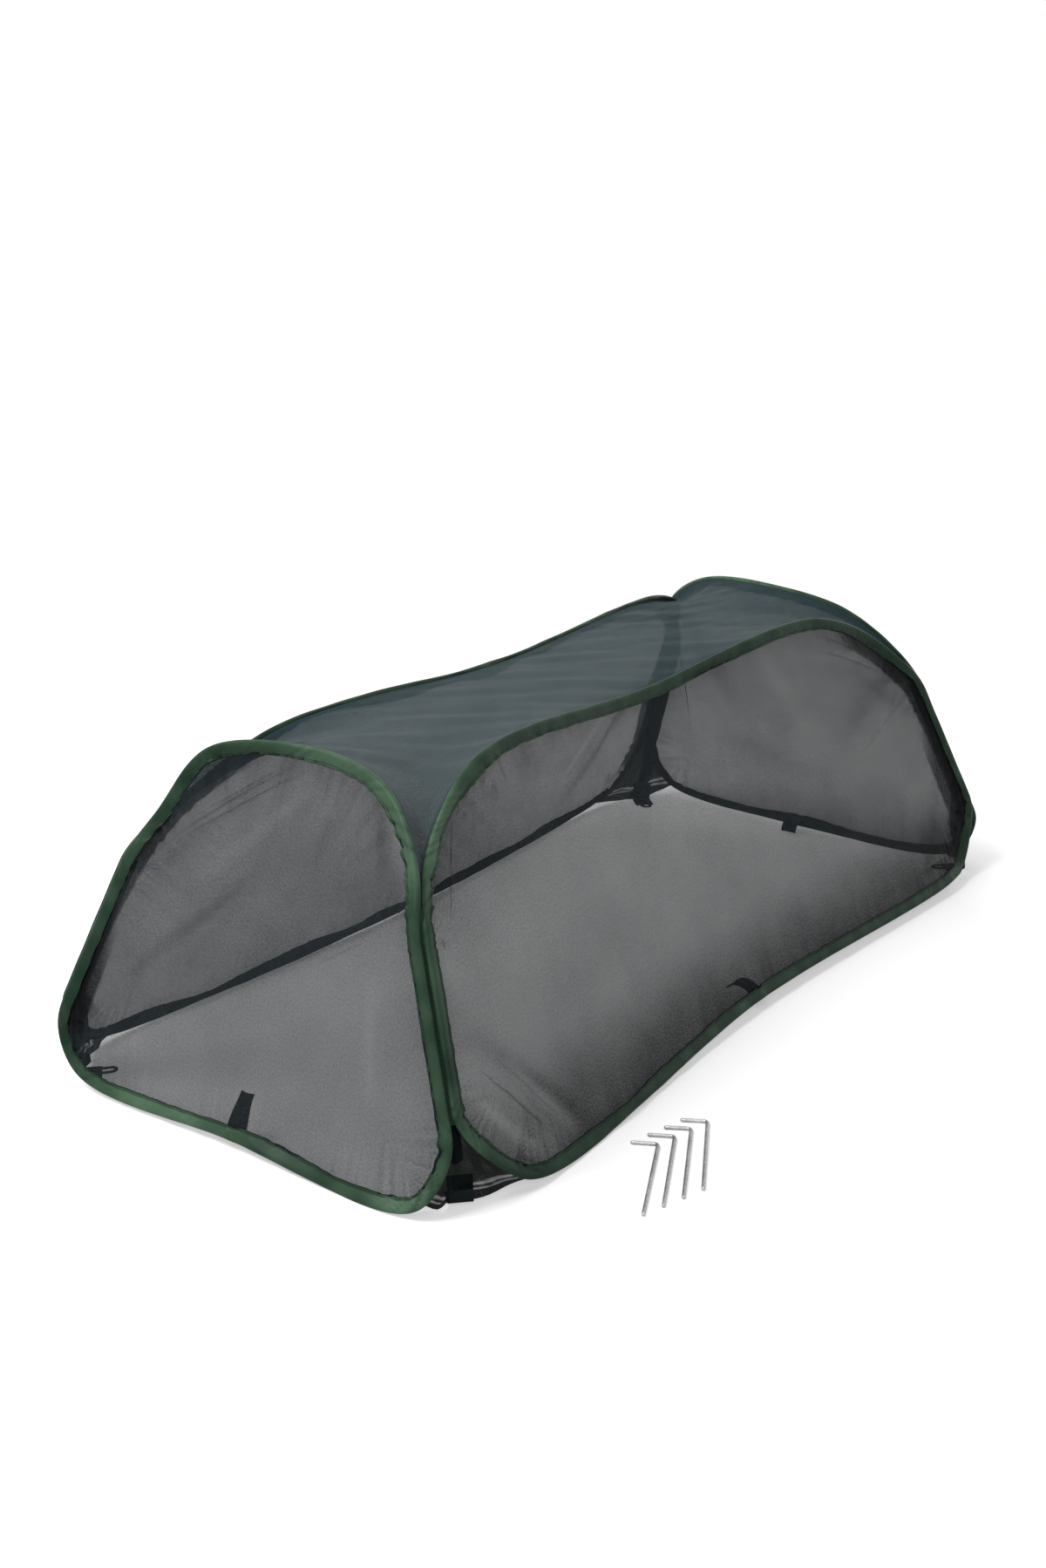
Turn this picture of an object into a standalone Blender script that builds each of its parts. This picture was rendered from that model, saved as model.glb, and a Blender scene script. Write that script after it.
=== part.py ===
"""Insect net row cover: four sprung wire hoops in sewn sleeves, joined at leaning corner seams.

Axes: X along the cover's length, Y across its width, Z up from the ground.
The origin is the bottom centre of the cover together with the pegs lying in front of it.
"""
import math

import bmesh
import bpy
from mathutils import Matrix, Vector

# Ground plan and lean of the panels
LENGTH = 1.216              # between the two end panels at the ground
WIDTH = 0.586               # between the two long panels at the ground
LONG_LEAN = math.radians(21.0)   # long panels lean inwards from upright
END_LEAN = math.radians(13.7)    # end panels lean inwards from upright
SEAM_LOW_Z = 0.100          # the corner seam is stitched from this height
SEAM_HIGH_Z = 0.245         # up to this height
RACK_LOW_Z = 0.090          # the upright pivot of a corner that opens crosses the seam's line here
RACK_HIGH_Z = 0.260         # and that of a corner that closes crosses it here

# Long hoop outline, in its panel: inset from the cover's corner, and up along the panel
LONG_FOOT_INSET = 0.118     # where the lower run leaves the ground
LONG_LOW_CORNER_INSET = 0.073
LONG_LOW_CORNER_V = 0.027
LONG_HIGH_CORNER_INSET = 0.112
LONG_HIGH_CORNER_V = 0.329
LONG_HUMP_INSET = 0.239
LONG_HUMP_V = 0.394
LONG_TOP_SAG = 0.002        # the top run dips in the middle
LONG_FOOT_LIFT = 0.008      # the lower run rises in the middle
LONG_LOW_BOW = 0.022        # and is drawn inwards by the net
LONG_TOP_BOW = 0.051        # the roof net draws it in

# End hoop outline
END_FOOT_INSET = 0.058
END_LOW_CORNER_INSET = 0.032
END_LOW_CORNER_V = 0.060
END_HIGH_CORNER_INSET = 0.125
END_HIGH_CORNER_V = 0.319
END_HUMP_INSET = 0.187
END_HUMP_V = 0.378
END_TOP_SAG = -0.014        # the top run rises in the middle
END_FOOT_LIFT = 0.002
END_LOW_BOW = 0.008
END_TOP_BOW = 0.054

# Spring wire, its ferrule and the sewn sleeve
WIRE_R = 0.0011
WIRE_END_GAP = 0.0008       # between the two wire ends inside the ferrule
FERRULE_WALL = 0.0005
FERRULE_LENGTH = 0.030
FERRULE_SIDES = 10
SLEEVE_WIDTH = 0.015        # from the folded edge to the seam on the net
SLEEVE_TAPE = 0.0006        # one layer of tape
NET_THICKNESS = 0.0008
NET_TUCK = 0.004            # net caught between the two layers of the sleeve
CLEARANCE = 0.0003
TOP_NET_SETBACK = 0.0008    # between the roof net and the sleeves it is sewn to
SEAM_BEAD_R = 0.0012        # whipped thread that joins two sleeves at a corner
SPAN_STEPS = 3              # straight pieces between two points of a hoop's outline
NET_BELLY = 0.010           # how far a panel's net swells out between its upper and lower run
NET_RINGS = (0.66, 0.30)    # size of each inner ring of a panel's net, of its rim
TOP_POCKET_STEPS = 3        # stations from its corner in which the roof net is a narrow pocket
SETTLE_ROUNDS = 120         # smooths the roof net's heights

# Corners
FOOT_SETBACK = 0.050        # the corner's foot stands this far inside the seam's line, along the diagonal
PATCH_SIZE = 0.024          # square webbing patch on the ground
PATCH_THICKNESS = 0.0014
PATCH_SETBACK = 0.001       # from the foot to the patch, along the diagonal
LOOP_WIDTH = 0.016
LOOP_LENGTH = 0.020
LOOP_TAPE = 0.004
LOOP_THICKNESS = 0.0012
LOOP_ARC_STEPS = 8

# Tabs inside the middle of each lower run
TAB_WIDTH = 0.019
TAB_LENGTH = 0.036
TAB_THICKNESS = 0.0018
TAB_STEPS = 6
TAB_CURL = math.radians(50.0)    # it curls away from the net towards its tip
TAB_BASE_V = 0.011          # its sewn foot, up the sleeve from the folded edge

# Ground pegs
PEG_R = 0.0020
PEG_LEG = 0.145
PEG_ARM = 0.026
PEG_BEND_R = 0.005
PEG_BEND_STEPS = 4
PEG_COUNT = 4
PEG_PITCH_X = 0.024         # from one peg to the next, along the cover
PEG_PITCH_Y = -0.005
PEG_FIRST_X = -0.360        # elbow of the first peg
PEG_FIRST_Y = -0.346        # from the cover's middle
PEG_TURN = math.radians(206.0)   # direction of the leg, from +X
PEG_TURN_STEP = math.radians(0.9)

BORE_R = WIRE_R + CLEARANCE + FERRULE_WALL + CLEARANCE
BORE_SIDES = 9              # sides of the full bore polygon, of which the slot takes away two
FOLD_R = BORE_R / math.cos(math.pi / BORE_SIDES) + SLEEVE_TAPE
LIP_HALF = NET_THICKNESS / 2 + CLEARANCE + SLEEVE_TAPE
SLOT_HALF = NET_THICKNESS / 2 + CLEARANCE
FOLD_STEPS = 4
GUSSET_FOOT_Z = PATCH_THICKNESS + CLEARANCE + NET_THICKNESS / 2
MERGE_DISTANCE = 0.00001

# Outline points, counted from the middle of the lower run
FOOT, SEAM_LOW, SEAM_MID, SEAM_HIGH, OUTLINE_POINTS = 1, 3, 4, 5, 16
SEAM_ENDS = {      # here the curve runs on straight, towards the seam's middle
    SEAM_LOW: SEAM_MID,
    SEAM_HIGH: SEAM_MID,
    OUTLINE_POINTS - SEAM_LOW: OUTLINE_POINTS - SEAM_MID,
    OUTLINE_POINTS - SEAM_HIGH: OUTLINE_POINTS - SEAM_MID,
}

GREEN = (0.060, 0.150, 0.075)
MESH_GREY = (0.055, 0.065, 0.068)
TOP_GREY = (0.070, 0.100, 0.105)
BLACK = (0.010, 0.013, 0.013)
ZINC = (0.60, 0.61, 0.62)
SPRING_GREY = (0.35, 0.35, 0.36)


def peg_turn(index):
    return PEG_TURN + index * PEG_TURN_STEP


def cover_middle():
    """The cover's middle lies behind the origin, which is the middle of cover and pegs together."""
    last = PEG_COUNT - 1
    elbow = PEG_FIRST_Y + last * PEG_PITCH_Y
    peg_reach = elbow + PEG_LEG * math.sin(peg_turn(last)) - PEG_R * abs(math.cos(peg_turn(last)))
    back_reach = WIDTH / 2 + FOLD_R * (1 - math.tan(LONG_LEAN))
    return -(peg_reach + back_reach) / 2


def clear_scene():
    for ob in list(bpy.data.objects):
        bpy.data.objects.remove(ob, do_unlink=True)


def make_material(name, colour, roughness, metallic=0.0):
    material = bpy.data.materials.new(name)
    material.use_nodes = True
    shader = material.node_tree.nodes["Principled BSDF"]
    shader.inputs["Base Color"].default_value = (*colour, 1.0)
    shader.inputs["Roughness"].default_value = roughness
    shader.inputs["Metallic"].default_value = metallic
    return material


class Panel:
    """One leaning side of the cover. u runs sideways, v up the panel and w outwards."""

    def __init__(self, name, side, half_width, lean, other_lean, out, across, sizes):
        self.name = name
        self.out = Vector(out)
        self.u = Vector(across)
        self.v = Vector((0, 0, math.cos(lean))) - self.out * math.sin(lean)
        self.w = self.out * math.cos(lean) + Vector((0, 0, math.sin(lean)))
        self.origin = self.out * side + Vector((0, cover_middle(), 0))
        self.lean = lean
        self.half_width = half_width
        self.other_lean = other_lean
        self.sizes = sizes

    def seam(self, z, sign):
        """The wire's centre beside the corner seam at height z."""
        tilt = math.atan(math.tan(self.other_lean) * math.cos(self.lean))
        u = self.half_width - z * math.tan(self.other_lean) - wire_setback() / math.cos(tilt)
        return (sign * u, z / math.cos(self.lean), 0.0)

    def at(self, point):
        return self.origin + self.u * point[0] + self.v * point[1] + self.w * point[2]

    def matrix(self):
        """Takes (u, v, w) to the world."""
        turn = Matrix((self.u, self.v, self.w)).transposed().to_4x4()
        return Matrix.Translation(self.origin) @ turn


def axis_inset():
    """How far a corner's seam line lies inside both panels' middle surfaces."""
    return FOLD_R + CLEARANCE


def wire_setback():
    """From the corner where two panels meet to the wire, so that the sleeve touches the seam bead."""
    half_corner = (math.pi - math.acos(math.sin(LONG_LEAN) * math.sin(END_LEAN))) / 2
    reach = FOLD_R + SEAM_BEAD_R + CLEARANCE
    return axis_inset() / math.tan(half_corner) + math.sqrt(reach ** 2 - axis_inset() ** 2)


def panel_outline(panel, raised):
    """The 16 points that the wire passes through, from the middle of the lower run to the right."""
    s, side = panel.sizes, panel.half_width
    ground = FOLD_R / math.cos(panel.lean) + raised
    half = [
        (0.0, ground + s["foot_lift"], -s["low_bow"]),
        (side - s["foot_inset"], ground, 0.0),
        (side - s["low_corner_inset"], s["low_corner_v"], 0.0),
        panel.seam(SEAM_LOW_Z, 1),
        panel.seam((SEAM_LOW_Z + SEAM_HIGH_Z) / 2, 1),
        panel.seam(SEAM_HIGH_Z, 1),
        (side - s["high_corner_inset"], s["high_corner_v"], -s["top_bow"] / 4),
        (side - s["hump_inset"], s["hump_v"], -s["top_bow"] / 2),
        (0.0, s["hump_v"] - s["top_sag"], -s["top_bow"]),
    ]
    mirrored = [(-u, v, w) for u, v, w in half[-2:0:-1]]
    return [Vector(point) for point in half + mirrored]


def smooth_loop(points, steps):
    """A closed curve through the points. Its slope at each is set by the distance to its neighbours."""
    count = len(points)
    spans = [(points[(i + 1) % count] - points[i]).length ** 0.5 for i in range(count)]
    slopes = []
    for i, point in enumerate(points):
        before, after = points[i - 1], points[(i + 1) % count]
        d0, d1 = spans[i - 1], spans[i]
        slope = (point - before) / d0 - (after - before) / (d0 + d1) + (after - point) / d1
        if i in SEAM_ENDS:
            along = (points[SEAM_ENDS[i]] - point).normalized()
            slope = along * slope.dot(along)
        slopes.append(slope)
    loop = []
    for i, start in enumerate(points):
        end = points[(i + 1) % count]
        slope_start, slope_end = slopes[i] * spans[i], slopes[(i + 1) % count] * spans[i]
        for k in range(steps):
            t = k / steps
            loop.append(
                start * (2 * t ** 3 - 3 * t ** 2 + 1) + slope_start * (t ** 3 - 2 * t ** 2 + t)
                + end * (3 * t ** 2 - 2 * t ** 3) + slope_end * (t ** 3 - t ** 2)
            )
    return loop


def inward(loop, i):
    """Direction from the loop at point i towards the inside of its panel, in (u, v, w)."""
    along = loop[(i + 1) % len(loop)] - loop[i - 1]
    side = Vector((-along.y, along.x, 0.0))
    return side.normalized()


def new_object(name, mesh, material, collection):
    ob = bpy.data.objects.new(name, mesh)
    mesh.materials.append(material)
    collection.objects.link(ob)
    return ob


def mesh_from_bmesh(name, bm):
    bmesh.ops.remove_doubles(bm, verts=bm.verts, dist=MERGE_DISTANCE)
    bmesh.ops.recalc_face_normals(bm, faces=bm.faces)
    mesh = bpy.data.meshes.new(name)
    bm.to_mesh(mesh)
    bm.free()
    return mesh


def mesh_from_curve(name, curve_object):
    """The evaluated curve as a closed mesh in the world's axes."""
    bpy.context.view_layer.update()
    graph = bpy.context.evaluated_depsgraph_get()
    mesh = bpy.data.meshes.new_from_object(curve_object.evaluated_get(graph))
    bm = bmesh.new()
    bm.from_mesh(mesh)
    bm.transform(curve_object.matrix_world)
    bpy.data.meshes.remove(mesh)
    bpy.data.objects.remove(curve_object, do_unlink=True)
    return mesh_from_bmesh(name, bm)


def poly_curve(name, points, collection, cyclic=False):
    curve = bpy.data.curves.new(name + "_path", "CURVE")
    curve.dimensions = "3D"
    curve.twist_mode = "Z_UP"
    spline = curve.splines.new("POLY")
    spline.points.add(len(points) - 1)
    for knot, point in zip(spline.points, points):
        knot.co = (*point, 1.0)
    spline.use_cyclic_u = cyclic
    ob = bpy.data.objects.new(name + "_path", curve)
    collection.objects.link(ob)
    return ob


def tube(name, points, radius, resolution, collection, matrix=None):
    ob = poly_curve(name, points, collection)
    ob.data.bevel_depth = radius
    ob.data.bevel_resolution = resolution
    ob.data.use_fill_caps = True
    if matrix is not None:
        ob.matrix_world = matrix
    return mesh_from_curve(name, ob)


def solidify(ob, thickness):
    """Gives a surface its thickness, evenly on both sides."""
    shell = ob.modifiers.new("Cloth thickness", "SOLIDIFY")
    shell.thickness = thickness
    shell.offset = 0.0


def loft(name, rows, thickness, material, collection):
    """A sheet through rows of points."""
    bm = bmesh.new()
    grid = [[bm.verts.new(point) for point in row] for row in rows]
    for lower, upper in zip(grid, grid[1:]):
        for k in range(len(lower) - 1):
            bm.faces.new((lower[k], lower[k + 1], upper[k + 1], upper[k]))
    ob = new_object(name, mesh_from_bmesh(name, bm), material, collection)
    solidify(ob, thickness)
    return ob


def sleeve_profile():
    """Folded tape: round over the wire at the right, two lips to the left with a slot for the net."""
    fold = [
        (-FOLD_R * math.cos(a), FOLD_R * math.sin(a))
        for a in (math.pi / 2 + math.pi * k / FOLD_STEPS for k in range(FOLD_STEPS + 1))
    ]
    lip_end = SLEEVE_WIDTH - FOLD_R
    bore_r = FOLD_R - SLEEVE_TAPE
    first = math.pi * 2 / BORE_SIDES
    bore = [
        (-bore_r * math.cos(a), bore_r * math.sin(a))
        for a in (-first * (k + 1) for k in range(BORE_SIDES - 1))
    ]
    lips = [(-lip_end, -LIP_HALF), (-lip_end, -SLOT_HALF)]
    return fold + lips + bore + [(-lip_end, SLOT_HALF), (-lip_end, LIP_HALF)]


class Hoop:
    """A panel's wire path, with its lower run raised until its lowest point just stands on the ground.

    The loop starts and ends at the two sides of a short straight piece, for the ferrule.
    """

    def __init__(self, panel):
        self.panel = panel
        raised = 0.0
        for _ in range(4):
            self.loop = smooth_loop(panel_outline(panel, raised), SPAN_STEPS)
            lowest = min(panel.at(point).z for point in self.loop)
            raised += (FOLD_R - lowest) / math.cos(panel.lean)
        self.middle = self.loop[0].copy()
        straight = Vector((FERRULE_LENGTH / 2 + CLEARANCE, 0, 0))
        self.loop[0] = self.middle + straight
        self.loop.append(self.middle - straight)

    def shifted(self, i, inwards, outwards=0.0):
        i %= len(self.loop)
        point = self.loop[i] + inward(self.loop, i) * inwards
        return self.panel.at(point + Vector((0, 0, outwards)))


def make_sleeve(hoop, material, parts, guides):
    profile_curve = bpy.data.curves.new("sleeve_section", "CURVE")
    profile_curve.dimensions = "2D"
    spline = profile_curve.splines.new("POLY")
    section = sleeve_profile()
    spline.points.add(len(section) - 1)
    for knot, (s, t) in zip(spline.points, section):
        knot.co = (s, t, 0.0, 1.0)
    spline.use_cyclic_u = True
    section_object = bpy.data.objects.new("sleeve_section", profile_curve)
    section_object.hide_render = True
    section_object.display_type = "WIRE"
    guides.objects.link(section_object)
    name = "sleeve_" + hoop.panel.name
    path = poly_curve(name, hoop.loop, guides, cyclic=True)
    path.data.bevel_mode = "OBJECT"
    path.data.bevel_object = section_object
    path.matrix_world = hoop.panel.matrix()
    ob = new_object(name, mesh_from_curve(name, path), material, parts)
    bpy.data.objects.remove(section_object, do_unlink=True)
    return ob


def make_wire(hoop, material, parts, guides):
    """The wire runs once round the hoop and its two ends nearly meet in the middle of the lower run."""
    half_gap = Vector((WIRE_END_GAP / 2, 0, 0))
    name = "spring_wire_" + hoop.panel.name
    points = [hoop.middle + half_gap] + hoop.loop + [hoop.middle - half_gap]
    mesh = tube(name, points, WIRE_R, 1, guides, hoop.panel.matrix())
    return new_object(name, mesh, material, parts)


def make_ferrule(hoop, material, parts):
    """A short tube round the two ends of the wire: two turned walls joined by a Screw."""
    inner = WIRE_R + CLEARANCE
    outer = inner + FERRULE_WALL
    half = FERRULE_LENGTH / 2
    bm = bmesh.new()
    corners = [(outer, 0, half), (outer, 0, -half), (inner, 0, -half), (inner, 0, half)]
    verts = [bm.verts.new(corner) for corner in corners]
    for a, b in zip(verts, verts[1:] + verts[:1]):
        bm.edges.new((a, b))
    mesh = bpy.data.meshes.new("ferrule_" + hoop.panel.name)
    bm.to_mesh(mesh)
    bm.free()
    ob = new_object("ferrule_" + hoop.panel.name, mesh, material, parts)
    turn = ob.modifiers.new("Turned tube", "SCREW")
    turn.steps = turn.render_steps = FERRULE_SIDES
    turn.merge_threshold = MERGE_DISTANCE
    turn.use_merge_vertices = True
    along = hoop.panel.u
    across = hoop.panel.v
    axes = Matrix((across, along.cross(across), along)).transposed().to_4x4()
    ob.matrix_world = Matrix.Translation(hoop.panel.at(hoop.middle)) @ axes
    return ob


def taut(rim, point):
    """The point of a net at the same place, drawn from the rim below it to the rim above, with a slight belly."""
    crossings = []
    for a, b in zip(rim, rim[1:] + rim[:1]):
        if (a.x <= point.x) != (b.x <= point.x):
            crossings.append(a.lerp(b, (point.x - a.x) / (b.x - a.x)))
    low = min(crossings, key=lambda crossing: crossing.y)
    high = max(crossings, key=lambda crossing: crossing.y)
    share = (point.y - low.y) / (high.y - low.y)
    reach = max(corner.x for corner in rim)
    belly = NET_BELLY * 4 * share * (1 - share) * (1 - (point.x / reach) ** 2)
    return Vector((point.x, point.y, low.z + (high.z - low.z) * share + belly))


def make_net(hoop, material, parts):
    """The panel's net: level through the sleeve's slot, then taut from the lower to the upper run."""
    slot_end = SLEEVE_WIDTH - FOLD_R
    sides = [inward(hoop.loop, i) for i in range(len(hoop.loop))]
    caught = [point + side * (slot_end - NET_TUCK) for point, side in zip(hoop.loop, sides)]
    rim = [point + side * (slot_end + NET_THICKNESS) for point, side in zip(hoop.loop, sides)]
    centre = sum(rim, Vector()) / len(rim)
    rings = [caught, rim]
    for share in NET_RINGS:
        rings.append([taut(rim, centre + (point - centre) * share) for point in rim])
    rows = [[hoop.panel.at(point) for point in ring] for ring in rings]
    bm = bmesh.new()
    grid = [[bm.verts.new(point) for point in row] for row in rows]
    count = len(rim)
    for outer, inner in zip(grid, grid[1:]):
        for k in range(count):
            bm.faces.new((outer[k], outer[(k + 1) % count], inner[(k + 1) % count], inner[k]))
    bm.faces.new(grid[-1])
    bmesh.ops.triangulate(bm, faces=[face for face in bm.faces if len(face.verts) > 4])
    name = "net_" + hoop.panel.name
    ob = new_object(name, mesh_from_bmesh(name, bm), material, parts)
    solidify(ob, NET_THICKNESS)
    return ob


def upper_run(hoop):
    """Points along the top of a hoop where the top net is sewn, from just above its left seam to its right."""
    first, last = (OUTLINE_POINTS - SEAM_HIGH) * SPAN_STEPS - 1, SEAM_HIGH * SPAN_STEPS + 1
    inside = -hoop.panel.out * (FOLD_R + TOP_NET_SETBACK + NET_THICKNESS / 2)
    return [hoop.panel.at(hoop.loop[i]) + inside for i in range(first, last - 1, -1)]


def filled(front, back, left, right):
    """Rows of points over the area inside four edges. Every point follows all four."""
    along = [(point.x - front[0].x) / (front[-1].x - front[0].x) for point in front]
    across = [(point.y - left[0].y) / (left[-1].y - left[0].y) for point in left]
    near = (front[0] + left[0]) / 2, (front[-1] + right[0]) / 2
    far = (back[0] + left[-1]) / 2, (back[-1] + right[-1]) / 2
    rows = []
    for t, start, end in zip(across, left, right):
        row = []
        for s, one, other in zip(along, front, back):
            flat = near[0].lerp(near[1], s).lerp(far[0].lerp(far[1], s), t)
            row.append(one.lerp(other, t) + start.lerp(end, s) - flat)
        rows.append(row)
    rows[0][0], rows[0][-1] = near
    rows[-1][0], rows[-1][-1] = far
    return rows


def draw_in_corners(rows):
    """Near each corner the net runs straight across from one sleeve to the other, as a narrow pocket.

    Returns the places of these points in the grid.
    """
    last = len(rows) - 1
    held = set()
    for far, right in ((False, False), (False, True), (True, False), (True, True)):
        for k in range(1, TOP_POCKET_STEPS):
            row_k, column_k = (last - k if far else k), (last - k if right else k)
            end_point = rows[row_k][last if right else 0]
            long_point = rows[last if far else 0][column_k]
            middle = (end_point + long_point) / 2
            for n in range(1, k + 1):
                row_n, column_n = (last - n if far else n), (last - n if right else n)
                rows[row_k][column_n] = end_point.lerp(middle, n / k)
                rows[row_n][column_k] = long_point.lerp(middle, n / k)
                held |= {(row_k, column_n), (row_n, column_k)}
    return held


def settle(rows, held):
    """Lets the inner points find their height between the edges, as those of a taut net do."""
    inner = range(1, len(rows) - 1)
    free = [(j, i) for j in inner for i in inner if (j, i) not in held]
    for _ in range(SETTLE_ROUNDS):
        for j, i in free:
            rows[j][i].z = (rows[j - 1][i].z + rows[j + 1][i].z + rows[j][i - 1].z + rows[j][i + 1].z) / 4


def make_top_net(hoops, material, parts):
    """A net stretched between the upper runs of the four hoops."""
    rows = filled(*(upper_run(hoops[name]) for name in ("front", "back", "left", "right")))
    settle(rows, draw_in_corners(rows))
    return loft("net_top", rows, NET_THICKNESS, material, parts)


def corner_frame(long_panel, end_panel):
    """Foot of the corner's seam line, its direction up the seam, and the diagonal towards the inside."""
    plan = long_panel.out + end_panel.out
    foot = long_panel.origin + end_panel.out * (LENGTH / 2)
    rise = Vector((0, 0, 1.0)) - long_panel.out * math.tan(LONG_LEAN) - end_panel.out * math.tan(END_LEAN)
    direction = rise.normalized()
    normals = (long_panel.w, end_panel.w, direction)
    system = Matrix(normals)
    shift = system.inverted() @ Vector((-axis_inset(), -axis_inset(), 0.0))
    return foot + shift, direction, -plan.normalized()


def corner_foot(corner, inside):
    """Where the webbing of a corner stands on the ground."""
    return Vector((corner.x, corner.y, 0.0)) + inside * FOOT_SETBACK


def on_line(line, height):
    foot, direction = line
    return foot + direction * ((height - foot.z) / direction.z)


def make_bead(name, line, material, parts, guides):
    """Whipped thread down the line where two sleeves meet."""
    ends = [on_line(line, SEAM_LOW_Z), on_line(line, SEAM_HIGH_Z)]
    return new_object(name, tube(name, ends, SEAM_BEAD_R, 1, guides), material, parts)


def lower_corner(hoop, towards_left):
    """Sleeve points from the seam down to the ground at one side of a hoop."""
    steps = range(SEAM_LOW * SPAN_STEPS - 1, FOOT * SPAN_STEPS, -1)
    return [(OUTLINE_POINTS * SPAN_STEPS - i if towards_left else i) for i in steps]


def make_gusset(name, long_hoop, end_hoop, long_left, end_left, material, parts):
    """Net between two hoops below the corner seam, folded down towards the corner's foot."""
    reach = (FOLD_R + CLEARANCE + NET_THICKNESS / 2) * math.sqrt(0.5)
    long_edge = [long_hoop.shifted(i, -reach, -reach) for i in lower_corner(long_hoop, long_left)]
    end_edge = [end_hoop.shifted(i, -reach, -reach) for i in lower_corner(end_hoop, end_left)]
    corner, direction, inside = corner_frame(long_hoop.panel, end_hoop.panel)
    heights = [(a.z + b.z) / 2 for a, b in zip(long_edge, end_edge)]
    heights[-1] = GUSSET_FOOT_Z
    top = on_line((corner, direction), heights[0])
    foot = corner_foot(corner, inside) + Vector((0, 0, GUSSET_FOOT_Z))
    rows = []
    for a, b, height in zip(long_edge, end_edge, heights):
        fold = foot.lerp(top, (height - foot.z) / (top.z - foot.z))
        rows.append([a, a.lerp(fold, 0.5), fold, b.lerp(fold, 0.5), b])
    return loft(name, rows, NET_THICKNESS, material, parts)


def turned_box(name, size, centre, facing):
    """A box with its length along the level direction facing."""
    bm = bmesh.new()
    bmesh.ops.create_cube(bm, size=1.0)
    bm.transform(Matrix.Diagonal((*size, 1.0)))
    turn = Matrix.Rotation(math.atan2(facing.y, facing.x), 4, "Z")
    bm.transform(Matrix.Translation(centre) @ turn)
    return mesh_from_bmesh(name, bm)


def make_patch(name, corner, inside, material, parts):
    centre = Vector((corner.x, corner.y, PATCH_THICKNESS / 2)) + inside * (PATCH_SETBACK + PATCH_SIZE / 2)
    size = (PATCH_SIZE, PATCH_SIZE, PATCH_THICKNESS)
    return new_object(name, turned_box(name, size, centre, inside), material, parts)


def make_loop(name, corner, inside, material, parts):
    """A flat loop of narrow tape with a round end, sewn to the inner edge of the patch."""
    half = LOOP_WIDTH / 2
    hole = half - LOOP_TAPE
    straight = LOOP_LENGTH - half
    arc = [math.pi / 2 - math.pi * k / LOOP_ARC_STEPS for k in range(LOOP_ARC_STEPS + 1)]
    outer = [(0.0, half)] + [(straight + half * math.cos(a), half * math.sin(a)) for a in arc]
    outer.append((0.0, -half))
    inner = [(LOOP_TAPE, hole)] + [(straight + hole * math.cos(a), hole * math.sin(a)) for a in arc]
    inner.append((LOOP_TAPE, -hole))
    curve = bpy.data.curves.new(name, "CURVE")
    curve.dimensions = "2D"
    curve.fill_mode = "BOTH"
    curve.extrude = LOOP_THICKNESS / 2
    for outline in (outer, inner):
        spline = curve.splines.new("POLY")
        spline.points.add(len(outline) - 1)
        for knot, (x, y) in zip(spline.points, outline):
            knot.co = (x, y, 0.0, 1.0)
        spline.use_cyclic_u = True
    ob = bpy.data.objects.new(name + "_outline", curve)
    parts.objects.link(ob)
    start = PATCH_SETBACK + PATCH_SIZE + CLEARANCE
    place = Vector((corner.x, corner.y, LOOP_THICKNESS / 2)) + inside * start
    turn = Matrix.Rotation(math.atan2(inside.y, inside.x), 4, "Z")
    ob.matrix_world = Matrix.Translation(place) @ turn
    return new_object(name, mesh_from_curve(name, ob), material, parts)


def tab_base(hoop):
    """The sewn foot of a tab: on the inner side of the sleeve, in the middle of the lower run."""
    lip = SLEEVE_WIDTH - FOLD_R
    up = TAB_BASE_V - FOLD_R
    sleeve_half = FOLD_R + (LIP_HALF - FOLD_R) * up / lip
    offset = sleeve_half + CLEARANCE + TAB_THICKNESS / 2
    return hoop.middle + Vector((0.0, up, -offset))


def make_tab(hoop, material, parts):
    """Folded webbing that stands up inside the sleeve and curls away from the net."""
    centre_line = [tab_base(hoop)]
    for k in range(TAB_STEPS):
        bend = TAB_CURL * (k + 1) / TAB_STEPS
        step = Vector((0.0, math.cos(bend), -math.sin(bend))) * (TAB_LENGTH / TAB_STEPS)
        centre_line.append(centre_line[-1] + step)
    rows = []
    for point in centre_line:
        ends = (point + Vector((side * TAB_WIDTH / 2, 0, 0)) for side in (-1, 1))
        rows.append([hoop.panel.at(end) for end in ends])
    return loft("tab_" + hoop.panel.name, rows, TAB_THICKNESS, material, parts)


def make_peg(index, material, parts, guides):
    """Round steel rod with a short arm bent square to its leg, lying on the ground."""
    arc = [math.pi / 2 * k / PEG_BEND_STEPS for k in range(PEG_BEND_STEPS + 1)]
    bend = [(PEG_BEND_R * (1 - math.sin(a)), PEG_BEND_R * (math.cos(a) - 1), 0.0) for a in arc]
    points = [(PEG_LEG, 0.0, 0.0)] + bend + [(0.0, -PEG_ARM, 0.0)]
    name = f"ground_peg_{index + 1}"
    mesh = tube(name, points, PEG_R, 2, guides)
    ob = new_object(name, mesh, material, parts)
    elbow_y = cover_middle() + PEG_FIRST_Y + index * PEG_PITCH_Y
    elbow = Vector((PEG_FIRST_X + index * PEG_PITCH_X, elbow_y, PEG_R))
    turn = Matrix.Rotation(peg_turn(index), 4, "Z")
    ob.matrix_world = Matrix.Translation(elbow) @ turn
    return ob


def attach(objects, body):
    """Parents the objects to their body's empty without moving them."""
    bpy.context.view_layer.update()
    for ob in objects:
        place = ob.matrix_world.copy()
        ob.parent = body
        ob.matrix_world = place


def make_body(name, location, guides):
    body = bpy.data.objects.new(name, None)
    body.location = location
    guides.objects.link(body)
    return body


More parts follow.
